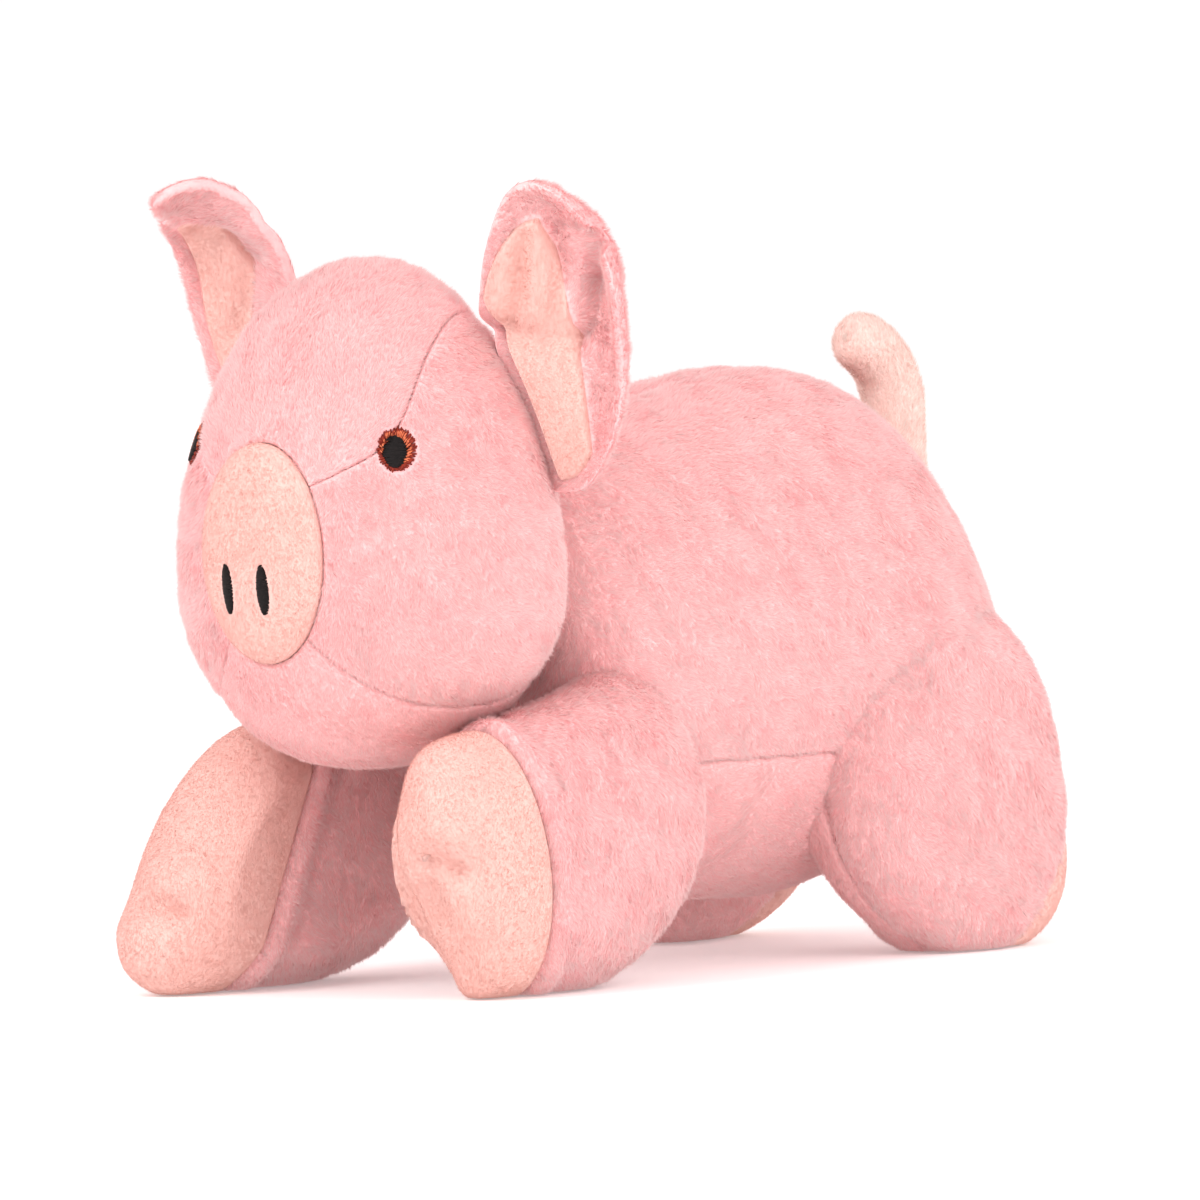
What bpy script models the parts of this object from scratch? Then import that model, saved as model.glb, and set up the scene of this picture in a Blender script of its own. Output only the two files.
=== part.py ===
"""A stuffed plush pig, made of the pieces that it is sewn from.

Metres, +Z up. The pig faces -Y, its left side is +X and its feet rest on Z = 0. Every soft
form is a run of oval rings. Its skin panels are shells cut out of that form along the seams,
and its stuffing is the same form, smaller. Each moving piece hangs on an empty that lies on
its joint. Lengths are named here once, and names that end in share or shares hold parts of them.
"""

import math

import bmesh
import bpy
from mathutils import Matrix, Vector

# Cloth and clearances
SKIN = 0.003
VELOUR = 0.0022
SEAM_GAP = 0.0004
FILL_GAP = 0.0014
HEAD_FILL_GAP = 0.0018
SEAT_GAP = 0.0003
TURNING_GAP = 0.0006
THREAD = 0.0008
WELD_REACH = 0.000003
SHARP_ANGLE = math.radians(50)

# Body
BODY_LENGTH = 0.198
BODY_HALF_WIDTH = 0.068
BELLY_HEIGHT = 0.021
BACK_HEIGHT = 0.186
BODY_FRONT = -0.050

# Neck
NECK_PIVOT = Vector((0, -0.052, 0.128))
NECK_RADIUS = 0.034

# Head, with the snout pad as its front
HEAD_LENGTH = 0.097
HEAD_HALF_WIDTH = 0.067
CHIN_HEIGHT = 0.0735
CROWN_HEIGHT = 0.2325
HEAD_FRONT = -0.150

# Thread work
IRIS_WIDTH = 0.0125
IRIS_HEIGHT = 0.0150
PUPIL_WIDTH = 0.0072
PUPIL_HEIGHT = 0.0096
NOSTRIL_WIDTH = 0.0054
NOSTRIL_HEIGHT = 0.0162
NOSTRIL_SPREAD = 0.0092
NOSTRIL_DROP = 0.0085

# Ears
EAR_PIVOT = Vector((0.0475, -0.076, 0.199))
EAR_HEIGHT = 0.054
EAR_BASE = 0.079
LEFT_EAR_CUP = 0.011
RIGHT_EAR_CUP = 0.006
EAR_BORDER = 0.0045
LINING_GAP = 0.0009
EAR_ROOT_RADIUS = 0.0045
EAR_ROOT_LENGTH = 0.036
LEFT_CURL_RADIUS = 0.070
RIGHT_CURL_RADIUS = 0.022

# Forelegs
FORELEG_LENGTH = 0.118
FORELEG_FRONT = -0.136
FORELEG_TOP = 0.0965
FORELEG_INNER = 0.037
FORELEG_OUTER = 0.0865
LEFT_HOOF_LEAN = -0.013
RIGHT_HOOF_LEAN = 0.068
SHOULDER_PLACE = Vector((0, -0.058, 0.058))
SHOULDER_RADIUS = 0.0425
FLAT_DEPTH = 0.00055
SOCKET_OVERRUN = 0.060

# Hind legs
HINDLEG_INNER = 0.038
HINDLEG_OUTER = 0.0800
HIP_PLACE = Vector((0, 0.098, 0.056))
HIP_RADIUS = 0.0455
FOOT_REACH = 0.0620
FOOT_SPLAY = 0.0110
HINDHOOF_DEPTH = 0.0130
HINDHOOF_SLOPE = math.radians(-42)

# Tail
TAIL_RADIUS = 0.0086
TAIL_ROOT_RADIUS = 0.0122
TAIL_REACH = 0.0100
TAIL_SKIN = 0.0022
TAIL_FILL_GAP = 0.0014
# The tail's root lies on the rump, so its place is a share of the body's length and height.
TAIL_BACK_SHARE = 191 / 198
TAIL_RISE_SHARE = 127 / 165
TAIL_BACK = BODY_FRONT + BODY_LENGTH * TAIL_BACK_SHARE
TAIL_RISE = BELLY_HEIGHT + (BACK_HEIGHT - BELLY_HEIGHT) * TAIL_RISE_SHARE
TAIL_PIVOT = Vector((0, TAIL_BACK, TAIL_RISE))

# Counts of facets
BODY_TURNS = 24
BODY_RUNS = 15
HEAD_TURNS = 24
HEAD_RUNS = 13
PAD_RUNS = 5
LEG_TURNS = 20
LEG_RUNS = 14
CORE_TURNS = 14
CORE_RUNS = 9
TAIL_TURNS = 12
TAIL_RUNS = 12
EAR_ACROSS = 10
EAR_UP = 12
DISC_TURNS = 16
SOCKET_FACETS = 32

# Rings of each form, front to back: place along it, half width, top, bottom and middle, as
# shares of its length, half width and height.
BODY_RING_SHARES = (
    (0.000, 0.00, 0.60, 0.60, 0.60),
    (0.010, 0.46, 0.78, 0.26, 0.54),
    (0.045, 0.70, 0.865, 0.125, 0.51),
    (0.120, 0.85, 0.905, 0.055, 0.51),
    (0.220, 0.93, 0.935, 0.02, 0.52),
    (0.360, 0.975, 0.965, 0.005, 0.52),
    (0.500, 1.00, 0.99, 0.00, 0.52),
    (0.640, 1.00, 1.00, 0.00, 0.53),
    (0.760, 0.92, 0.965, 0.05, 0.54),
    (0.860, 0.74, 0.89, 0.12, 0.55),
    (0.930, 0.54, 0.81, 0.20, 0.56),
    (0.975, 0.36, 0.73, 0.30, 0.56),
    (0.995, 0.20, 0.65, 0.42, 0.56),
    (1.000, 0.00, 0.55, 0.55, 0.55),
)
HEAD_RING_SHARES = (
    (0.000, 0.00, 0.44, 0.44, 0.44),
    (0.008, 0.15, 0.525, 0.355, 0.44),
    (0.030, 0.27, 0.60, 0.28, 0.44),
    (0.065, 0.36, 0.65, 0.235, 0.44),
    (0.095, 0.395, 0.668, 0.215, 0.44),
    (0.125, 0.47, 0.705, 0.175, 0.43),
    (0.170, 0.60, 0.765, 0.12, 0.41),
    (0.250, 0.77, 0.85, 0.06, 0.38),
    (0.370, 0.91, 0.94, 0.015, 0.355),
    (0.520, 0.99, 0.99, 0.00, 0.34),
    (0.660, 1.00, 1.00, 0.005, 0.34),
    (0.790, 0.95, 0.965, 0.05, 0.35),
    (0.890, 0.83, 0.885, 0.13, 0.365),
    (0.960, 0.62, 0.76, 0.24, 0.38),
    (0.990, 0.40, 0.64, 0.34, 0.385),
    (1.000, 0.00, 0.42, 0.42, 0.42),
)
FORELEG_RING_SHARES = (
    (0.000, 0.00, 0.50, 0.50, 0.50),
    (0.020, 0.38, 0.68, 0.30, 0.49),
    (0.070, 0.66, 0.79, 0.14, 0.46),
    (0.150, 0.86, 0.85, 0.03, 0.44),
    (0.260, 0.96, 0.88, 0.00, 0.43),
    (0.380, 1.00, 0.905, 0.00, 0.43),
    (0.520, 1.00, 0.935, 0.005, 0.46),
    (0.650, 0.98, 0.975, 0.04, 0.50),
    (0.780, 0.92, 0.985, 0.11, 0.54),
    (0.890, 0.78, 0.91, 0.22, 0.57),
    (0.960, 0.56, 0.82, 0.36, 0.59),
    (0.990, 0.30, 0.72, 0.49, 0.60),
    (1.000, 0.00, 0.60, 0.60, 0.60),
)
# Half the foreleg's width before its inner face cuts it, as a share of what is left
FORELEG_HALF_SHARE = 0.57
# The snout pad ends at this ring of the head, and the hoof at this ring of the foreleg.
PAD_EDGE_SHARE = 4 / 15
HOOF_EDGE_SHARE = 4.35 / 12
# The hoof's lean, which moves its top back and its toe forward, fades out by this ring.
LEAN_END_SHARE = 7.5 / 12
LEAN_LEVEL_SHARE = 0.35
# Seams that run along a form: the turn about it, from the left side up, at even steps.
GUSSET_TURN_SHARES = (0.105, 0.100, 0.104, 0.143, 0.166, 0.176, 0.180, 0.180)
CHIN_TURN_SHARES = (-0.135, -0.130, -0.122, -0.112, -0.104, -0.100, -0.100, -0.100)
BELLY_TURN_SHARES = (-0.100, -0.090, -0.080, -0.077, -0.080, -0.090, -0.110, -0.130)

# Hind leg: its outline seen from the side, as radii at eight even turns from the rear up, and
# its rings from the inner face out, as places across it and scales of that outline.
HINDLEG_OUTLINE_SHARES = (0.778, 0.724, 0.724, 0.719, 0.708, 0.789, 0.913, 1.00)
HINDLEG_RING_SHARES = (
    (0.00, 0.00),
    (0.00, 0.55),
    (0.01, 0.82),
    (0.10, 0.93),
    (0.28, 0.995),
    (0.48, 1.00),
    (0.66, 0.95),
    (0.81, 0.83),
    (0.92, 0.62),
    (0.98, 0.36),
    (1.00, 0.00),
)
THIGH_SEAM_SHARE = 4.6 / 10

# Ear leaf, base to tip: place up the ear, and its two edges along the base
EAR_ROW_SHARES = (
    (0.00, -0.54, 0.27),
    (0.20, -0.56, 0.46),
    (0.42, -0.47, 0.60),
    (0.62, -0.34, 0.67),
    (0.78, -0.17, 0.675),
    (0.89, 0.02, 0.64),
    (0.965, 0.18, 0.56),
    (1.00, 0.30, 0.44),
)
EAR_BASE_SAG_SHARE = 0.07
EAR_CUP_PEAK_SHARE = 0.75
EAR_CURL_START_SHARE = 0.62
EAR_CURL_TURN = math.radians(52)
LINING_START_SHARE = 0.12
LINING_END_SHARE = 0.93
# Which way each ear stands: along its base and up its leaf, for the left side
EAR_BASE_WAY = Vector((0.32, 0.20, -0.93))
LEFT_EAR_WAY = Vector((0.90, 0.30, 0.32))
RIGHT_EAR_WAY = Vector((0.70, -0.02, 0.46))

# Tail: its middle line, as places behind and above its root in tail reaches, and its radius
TAIL_WAY_SHARES = (
    (-1.05, -0.1),
    (0.0, 0.0),
    (0.42, 1.05),
    (0.46, 2.25),
    (0.10, 3.35),
    (-0.68, 4.15),
    (-1.62, 4.45),
)
TAIL_WIDTH_SHARES = (1.0, 1.42, 1.12, 1.12, 1.12, 1.08, 1.0)
TAIL_CAP_SHARE = 0.12
TAIL_SKIN_SHARES = (0.09, 1.0)
TAIL_FILL_SHARES = (0.17, 0.90)

# The eye's place on the head: turn about it and run along it
EYE_TURN_SHARE = 0.094
EYE_RUN_SHARE = 0.478

# How much of a form's rings or turns each panel is divided into, and a small step along a form
SIDE_PANEL_SHARE = 0.34
BELLY_PANEL_SHARE = 0.32
HOOF_RUNS_SHARE = 0.45
SLEEVE_RUNS_SHARE = 0.62
CREST_TURN_SHARE = 0.25
MIRROR_TURN_SHARE = 0.5
STEP_SHARE = 0.001
HALF_STEP_SHARE = 0.5


def run_through(rows, at):
    """The smooth curve through the rows at a place from 0 to 1, value by value."""
    spans = len(rows) - 1
    first = min(int(at * spans), spans - 1)
    f = at * spans - first
    rows4 = [rows[min(max(first + step, 0), spans)] for step in (-1, 0, 1, 2)]
    if not isinstance(rows[0], tuple):
        rows4 = [(row,) for row in rows4]
    values = [
        ((-a + 3 * b - 3 * c + d) * f**3 + (2 * a - 5 * b + 4 * c - d) * f**2 + (c - a) * f) / 2 + b
        for a, b, c, d in zip(*rows4)
    ]
    return values if isinstance(rows[0], tuple) else values[0]


def linear(a, b, f):
    return a + (b - a) * f


def ring_form(rings, front, length, low, top, middle, half_width, inner=None, lean=0):
    """A form laid along Y from its rings. Gives its point at a turn, a run and a depth."""

    def point(turn, run, depth=0):
        along, width, above, below, centre = run_through(rings, min(max(run, 0), 1))
        angle = turn * math.tau
        rise = (above - centre) if math.sin(angle) > 0 else (centre - below)
        height = linear(low + depth, top - depth, centre + rise * math.sin(angle))
        x = middle + (half_width - depth) * max(width, 0) * math.cos(angle)
        y = linear(front + depth, front + length - depth, along)
        y += lean * (height / top - LEAN_LEVEL_SHARE) * math.sqrt(max(1 - run / LEAN_END_SHARE, 0))
        here = Vector((x, y, height))
        if inner is not None:
            here.x = max(here.x, inner + depth)
            here.z = max(here.z, depth)
        return here

    return point


def spread(start, end, count):
    return [linear(start, end, i / count) for i in range(count + 1)]


def edge_share(form, turn, run, gap):
    """How much turn and run half a seam gap takes up here."""
    per_turn, per_run = slopes(form, turn, run)
    return gap / 2 / per_turn.length, gap / 2 / per_run.length


def slopes(form, turn, run):
    """How a form's point moves for each whole turn and each whole run."""
    step = STEP_SHARE
    per_turn = (form(turn + step, run) - form(turn - step, run)) / (2 * step)
    per_run = (form(turn, run + step) - form(turn, run - step)) / (2 * step)
    return per_turn, per_run


def node(name, bm, material, pivot, parent, side=1):
    """Makes the object of one piece, its origin on the pivot, mirrored where side is -1."""
    for v in bm.verts:
        v.co.x *= side
    if side < 0:
        bmesh.ops.reverse_faces(bm, faces=bm.faces[:])
    place = to_side(pivot, side)
    bmesh.ops.translate(bm, verts=bm.verts[:], vec=-place)
    mesh = bpy.data.meshes.new(name)
    bm.to_mesh(mesh)
    bm.free()
    mesh.shade_smooth()
    mesh.set_sharp_from_angle(angle=SHARP_ANGLE)
    mesh.materials.append(material)
    piece = bpy.data.objects.new(name, mesh)
    bpy.context.scene.collection.objects.link(piece)
    piece.parent = parent
    piece.location = place - parent.matrix_world.translation
    return piece


def closed_mesh(layers, wraps):
    """A closed body from an outer and an inner grid of points, walled along its open edges."""
    bm = bmesh.new()
    grids = [[[bm.verts.new(p) for p in row] for row in layer] for layer in layers]
    rows, cols = len(grids[0]), len(grids[0][0])
    last = cols if wraps else cols - 1
    for layer, grid in enumerate(grids):
        for r in range(rows - 1):
            for c in range(last):
                d = (c + 1) % cols
                quad = [grid[r][c], grid[r + 1][c], grid[r + 1][d], grid[r][d]]
                bm.faces.new(quad if layer == 0 else quad[::-1])
    if len(grids) > 1:
        outer, under = grids
        for c in range(last):
            d = (c + 1) % cols
            bm.faces.new([outer[0][d], under[0][d], under[0][c], outer[0][c]])
            bm.faces.new([outer[-1][c], under[-1][c], under[-1][d], outer[-1][d]])
        if not wraps:
            for r in range(rows - 1):
                bm.faces.new([outer[r][0], under[r][0], under[r + 1][0], outer[r + 1][0]])
                bm.faces.new([outer[r + 1][-1], under[r + 1][-1], under[r][-1], outer[r][-1]])
    bmesh.ops.remove_doubles(bm, verts=bm.verts[:], dist=WELD_REACH)
    bmesh.ops.dissolve_degenerate(bm, edges=bm.edges[:], dist=WELD_REACH)
    flat = [f for f in bm.faces if f.calc_area() < WELD_REACH**2]
    bmesh.ops.delete(bm, geom=flat, context="FACES")
    face_out(bm)
    return bm


def face_out(bm):
    """Turns a closed body's faces outwards."""
    if bm.calc_volume(signed=True) < 0:
        bmesh.ops.reverse_faces(bm, faces=bm.faces[:])


def shell(form, runs, turns_at, thickness, wraps=False):
    """A panel of cloth over part of a form. turns_at gives its turns at each run."""
    layers = []
    for depth in (0, thickness):
        layers.append([[form(turn, run, depth) for turn in turns_at(run)] for run in runs])
    return closed_mesh(layers, wraps)


def whole_form(form, depth, turns, runs):
    """The closed solid of a form at a depth, poles and all."""
    grid = [[form(i / turns, run, depth) for i in range(turns)] for run in spread(0, 1, runs)]
    return closed_mesh([grid], True)


def whole_turns(count, first_share=0):
    """Turns all round at even steps, the first of them this share of a step on."""
    return lambda run: [(i + first_share) / count for i in range(count)]


def strip_turns(form, first, last, count):
    """Turns between two seams, half a seam gap inside each."""

    def turns(run):
        start, end = first(run), last(run)
        gap = edge_share(form, (start + end) / 2, run, SEAM_GAP)[0]
        return spread(start + gap, end - gap, count)

    return turns


def seam(shares, first_run=0, sign=1, whole=0):
    """A seam as a turn at each run from its first, mirrored where sign is -1."""

    def turn(run):
        behind = (run - first_run) / (1 - first_run)
        value = run_through(shares, min(max(behind, 0), 1))
        return value + whole if sign > 0 else MIRROR_TURN_SHARE - value + whole

    return turn


def crest(run):
    """The turn of the seam along the back."""
    return CREST_TURN_SHARE


def material(name, colour, roughness=0.9, sheen=0.0):
    made = bpy.data.materials.new(name)
    made.use_nodes = True
    shader = made.node_tree.nodes["Principled BSDF"]
    shader.inputs["Base Color"].default_value = (*colour, 1)
    shader.inputs["Roughness"].default_value = roughness
    shader.inputs["Metallic"].default_value = 0
    shader.inputs["Sheen Weight"].default_value = sheen
    return made


def joint_empty(name, place, parent=None):
    """An empty on a joint, which the pieces that turn about it hang on."""
    empty = bpy.data.objects.new(name, None)
    empty.empty_display_size = SKIN
    bpy.context.scene.collection.objects.link(empty)
    empty.location = place - (parent.matrix_world.translation if parent else Vector())
    empty.parent = parent
    bpy.context.view_layer.update()
    return empty


def guide(name, bm, parent):
    """A shape that only cuts or joins others and isn't a piece of the toy."""
    mesh = bpy.data.meshes.new(name)
    bm.to_mesh(mesh)
    bm.free()
    made = bpy.data.objects.new(name, mesh)
    bpy.context.scene.collection.objects.link(made)
    made.parent = parent
    made.location = -parent.matrix_world.translation
    made.hide_render = True
    made.display_type = "WIRE"
    return made


def ball_guide(name, centre, radius, parent):
    bm = bmesh.new()
    bmesh.ops.create_uvsphere(
        bm,
        u_segments=SOCKET_FACETS,
        v_segments=SOCKET_FACETS // 2,
        radius=radius,
        matrix=Matrix.Translation(centre),
    )
    return guide(name, bm, parent)


def rod_guide(name, start, end, radius, parent, facets=SOCKET_FACETS):
    """A round bar between two points."""
    way = end - start
    turned = way.to_track_quat("Z", "Y").to_matrix().to_4x4()
    bm = bmesh.new()
    bmesh.ops.create_cone(
        bm,
        cap_ends=True,
        segments=facets,
        radius1=radius,
        radius2=radius,
        depth=way.length,
        matrix=Matrix.Translation((start + end) / 2) @ turned,
    )
    return guide(name, bm, parent)


def block_guide(name, face, way, size, parent):
    """A block with the middle of one face at a point, reaching away along a direction."""
    turned = way.to_track_quat("Z", "Y").to_matrix().to_4x4()
    bm = bmesh.new()
    middle = Matrix.Translation(face + way.normalized() * size / 2) @ turned
    bmesh.ops.create_cube(bm, size=size, matrix=middle)
    return guide(name, bm, parent)


def combine(piece, other, operation="DIFFERENCE"):
    cut = piece.modifiers.new(f"{operation.lower()}_{other.name}", "BOOLEAN")
    cut.operation = operation
    cut.solver = "EXACT"
    cut.object = other


def side_name(sign):
    return "left" if sign > 0 else "right"


def to_side(place, sign):
    """A place on the left side, or the same place on the right where sign is -1."""
    return Vector((place.x * sign, place.y, place.z))


def build_body(form, skins, parent, cutters):
    """Two side panels that meet along the back, the belly panel and the stuffing."""
    runs = spread(0, 1, BODY_RUNS)[1:-1]
    runs = [runs[0] / 2] + runs + [(runs[-1] + 1) / 2]
    left = strip_turns(form, seam(BELLY_TURN_SHARES), crest, round(BODY_TURNS * SIDE_PANEL_SHARE))
    origin = parent.matrix_world.translation
    pieces = []
    for sign in (1, -1):
        bm = shell(form, runs, left, SKIN)
        pieces.append(node(f"body_side_{side_name(sign)}", bm, skins["plush"], origin, parent, sign))
    right_seam, left_seam = seam(BELLY_TURN_SHARES, sign=-1), seam(BELLY_TURN_SHARES, whole=1)
    belly = strip_turns(form, right_seam, left_seam, round(BODY_TURNS * BELLY_PANEL_SHARE))
    bm = shell(form, runs, belly, SKIN)
    pieces.append(node("belly_panel", bm, skins["smooth plush"], origin, parent))
    bm = whole_form(form, SKIN + FILL_GAP, CORE_TURNS, CORE_RUNS)
    pieces.append(node("body_stuffing", bm, skins["fill"], origin, parent))
    for piece in pieces:
        for cutter in cutters:
            combine(piece, cutter)


def build_neck(skins, parent):
    bm = bmesh.new()
    bmesh.ops.create_uvsphere(
        bm,
        u_segments=SOCKET_FACETS // 2,
        v_segments=SOCKET_FACETS // 4,
        radius=NECK_RADIUS,
        matrix=Matrix.Translation(NECK_PIVOT),
    )
    node("neck_stuffing", bm, skins["fill"], NECK_PIVOT, parent)


def build_head(form, skins, parent, cutters):
    """The snout pad, the forehead gusset, two cheeks, the chin panel and the stuffing."""
    edge = edge_share(form, 0, PAD_EDGE_SHARE, SEAM_GAP)[1]
    runs = spread(PAD_EDGE_SHARE + edge, 1, HEAD_RUNS)[:-1]
    runs = runs + [(runs[-1] + 1) / 2]
    gusset = seam(GUSSET_TURN_SHARES, PAD_EDGE_SHARE)
    gusset_right = seam(GUSSET_TURN_SHARES, PAD_EDGE_SHARE, -1)
    chin = seam(CHIN_TURN_SHARES, PAD_EDGE_SHARE)
    chin_left = seam(CHIN_TURN_SHARES, PAD_EDGE_SHARE, whole=1)
    chin_right = seam(CHIN_TURN_SHARES, PAD_EDGE_SHARE, -1)
    pieces = []

    bm = shell(form, runs, strip_turns(form, gusset, gusset_right, HEAD_TURNS // 3), SKIN)
    pieces.append(node("forehead_panel", bm, skins["plush"], NECK_PIVOT, parent))
    cheek = strip_turns(form, chin, gusset, HEAD_TURNS // 4)
    for sign in (1, -1):
        bm = shell(form, runs, cheek, SKIN)
        pieces.append(node(f"cheek_{side_name(sign)}", bm, skins["plush"], NECK_PIVOT, parent, sign))
    bm = shell(form, runs, strip_turns(form, chin_right, chin_left, HEAD_TURNS // 4), SKIN)
    pieces.append(node("chin_panel", bm, skins["smooth plush"], NECK_PIVOT, parent))
    pad_runs = spread(0, PAD_EDGE_SHARE - edge, PAD_RUNS)
    bm = shell(form, pad_runs, whole_turns(HEAD_TURNS), VELOUR, wraps=True)
    node("snout_pad", bm, skins["velour"], NECK_PIVOT, parent)
    bm = whole_form(form, SKIN + HEAD_FILL_GAP, CORE_TURNS, HEAD_RUNS)
    pieces.append(node("head_stuffing", bm, skins["fill"], NECK_PIVOT, parent))
    for piece in pieces:
        for cutter in cutters:
            combine(piece, cutter)


def thread_disc(form, turn, run, width, height, lift, rings=2):
    """A flat oval of thread that lies on a form, lifted off it."""
    per_turn, per_run = slopes(form, turn, run)
    out = per_run.cross(per_turn).normalized()
    up = (Vector((0, 0, 1)) - out * out.z).normalized()
    side = up.cross(out)

    def flat(across, rise):
        aim = side * across + up * rise
        a, b, c = per_turn.dot(per_turn), per_turn.dot(per_run), per_run.dot(per_run)
        p, q = aim.dot(per_turn), aim.dot(per_run)
        spare = a * c - b * b
        return turn + (c * p - b * q) / spare, run + (a * q - b * p) / spare

    def point(angle, share, depth):
        at = flat(width / 2 * share * math.cos(angle), height / 2 * share * math.sin(angle))
        return form(*at, depth)

    grids = []
    for depth in (-lift - THREAD, -lift):
        rows = []
        for ring in range(rings + 1):
            share = ring / rings
            rows.append([point(-i / DISC_TURNS * math.tau, share, depth) for i in range(DISC_TURNS)])
        grids.append(rows)
    return closed_mesh(grids, True)


def build_face(form, skins, parent):
    """Irises and pupils in thread on the head, and the nostrils on the pad."""
    for sign in (1, -1):
        way = side_name(sign)
        bm = thread_disc(form, EYE_TURN_SHARE, EYE_RUN_SHARE, IRIS_WIDTH, IRIS_HEIGHT, SEAT_GAP)
        node(f"iris_{way}", bm, skins["rust thread"], NECK_PIVOT, parent, sign)
        lift = SEAT_GAP + THREAD + SEAT_GAP
        bm = thread_disc(form, EYE_TURN_SHARE, EYE_RUN_SHARE, PUPIL_WIDTH, PUPIL_HEIGHT, lift)
        node(f"pupil_{way}", bm, skins["black thread"], NECK_PIVOT, parent, sign)
        turn, run = nostril_place(form)
        bm = thread_disc(form, turn, run, NOSTRIL_WIDTH, NOSTRIL_HEIGHT, SEAT_GAP, rings=3)
        node(f"nostril_{way}", bm, skins["black thread"], NECK_PIVOT, parent, sign)


def nostril_place(form):
    """The turn and run on the pad that lie at the nostril's spread and drop."""
    tip = form(0, 0)
    angle = math.atan2(-NOSTRIL_DROP, NOSTRIL_SPREAD)
    turn = angle / math.tau
    low, high = 0, PAD_EDGE_SHARE
    reach = math.hypot(NOSTRIL_DROP, NOSTRIL_SPREAD)
    while high - low > STEP_SHARE**2:
        run = (low + high) / 2
        if (form(turn, run) - tip).length < reach:
            low = run
        else:
            high = run
    return turn, run


def ear_frame(way):
    """The direction of the seam at its base, the way up the leaf and the way it faces."""
    up = way.normalized()
    base = -EAR_BASE_WAY.normalized()
    return base, up, up.cross(base).normalized()


def ear_form(way, cup, curl_radius, border=0, start=0, end=1):
    """The middle sheet of an ear as a form: its turn runs across it and its run up it."""
    base, up, facing = ear_frame(way)
    curl_base, curl_up = math.cos(EAR_CURL_TURN), math.sin(EAR_CURL_TURN)
    curl_start = EAR_HEIGHT * EAR_CURL_START_SHARE

    def raw(across, run):
        row = linear(start, end, run)
        rise, first, last = run_through(EAR_ROW_SHARES, row)
        first, last = first * EAR_BASE, last * EAR_BASE
        q = linear(first + border, last - border, across)
        sag = EAR_BASE_SAG_SHARE * max(1 - 2 * row, 0) ** 2
        p = rise * EAR_HEIGHT - sag * q * q / EAR_BASE
        middle = 2 * (q - first) / (last - first) - 1
        n = cup * middle**2 * math.sin(math.pi * EAR_CUP_PEAK_SHARE * row)
        beyond = p * curl_up + q * curl_base - curl_start
        if beyond > 0:
            bend = beyond / curl_radius
            short = curl_radius * math.sin(bend) - beyond
            p += short * curl_up
            q += short * curl_base
            n += curl_radius * (1 - math.cos(bend))
        return EAR_PIVOT + up * p + base * q + facing * n

    def point(across, run, depth=0):
        low, high = max(run - STEP_SHARE, 0), min(run + STEP_SHARE, 1)
        left, right = max(across - STEP_SHARE, 0), min(across + STEP_SHARE, 1)
        upward = raw(across, high) - raw(across, low)
        forward = upward.cross(raw(right, run) - raw(left, run)).normalized()
        return raw(across, run) - forward * depth

    return point


def ear_piece(form, near, far):
    """A sheet between two depths of the ear's form, as a closed body."""
    across, up = spread(0, 1, EAR_ACROSS), spread(0, 1, EAR_UP)
    layers = [[[form(a, r, depth) for a in across] for r in up] for depth in (near, far)]
    return closed_mesh(layers, False)


def build_ear(sign, skins, parent):
    """The plush back, whose base is a roll that turns in a groove of the head, and the lining."""
    if sign > 0:
        bends = (LEFT_EAR_WAY, LEFT_EAR_CUP, LEFT_CURL_RADIUS)
    else:
        bends = (RIGHT_EAR_WAY, RIGHT_EAR_CUP, RIGHT_CURL_RADIUS)
    name = side_name(sign)
    back = ear_form(*bends)
    front = ear_form(*bends, EAR_BORDER, LINING_START_SHARE, LINING_END_SHARE)
    bm = ear_piece(back, 0, SKIN)
    outer = node(f"ear_outer_{name}", bm, skins["plush"], EAR_PIVOT, parent, sign)
    bm = ear_piece(front, -LINING_GAP, -LINING_GAP - VELOUR)
    node(f"ear_lining_{name}", bm, skins["velour"], EAR_PIVOT, parent, sign)
    base = -EAR_BASE_WAY.normalized() * EAR_ROOT_LENGTH / 2
    ends = [to_side(EAR_PIVOT - base, sign), to_side(EAR_PIVOT + base, sign)]
    root = rod_guide(f"guide_ear_root_{name}", *ends, EAR_ROOT_RADIUS, parent, SOCKET_FACETS // 2)
    combine(outer, root, "UNION")
    return outer


def groove_guide(sign, parent):
    """The groove in the head that an ear's root lies in."""
    base = -EAR_BASE_WAY.normalized() * (EAR_ROOT_LENGTH / 2 + TURNING_GAP)
    ends = [to_side(EAR_PIVOT - base, sign), to_side(EAR_PIVOT + base, sign)]
    return rod_guide(f"guide_ear_groove_{side_name(sign)}", *ends, EAR_ROOT_RADIUS + TURNING_GAP, parent)


def build_foreleg(sign, form, skins, parent, pivot):
    """A hoof in front, the sleeve behind it and the stuffing of both."""
    name = side_name(sign)
    edge = edge_share(form, 0.25, HOOF_EDGE_SHARE, SEAM_GAP)[1]
    hoof_runs = spread(0, HOOF_EDGE_SHARE - edge, round(LEG_RUNS * HOOF_RUNS_SHARE))
    sleeve_runs = spread(HOOF_EDGE_SHARE + edge, 1, round(LEG_RUNS * SLEEVE_RUNS_SHARE))
    # A facet, not an edge, lies under the leg.
    turns = whole_turns(LEG_TURNS, HALF_STEP_SHARE)
    node(f"forehoof_{name}", shell(form, hoof_runs, turns, SKIN, True), skins["velour"], pivot, parent, sign)
    bm = shell(form, sleeve_runs, turns, SKIN, True)
    node(f"foreleg_sleeve_{name}", bm, skins["plush"], pivot, parent, sign)
    bm = whole_form(form, SKIN + FILL_GAP, CORE_TURNS, CORE_RUNS)
    node(f"foreleg_stuffing_{name}", bm, skins["fill"], pivot, parent, sign)


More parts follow.
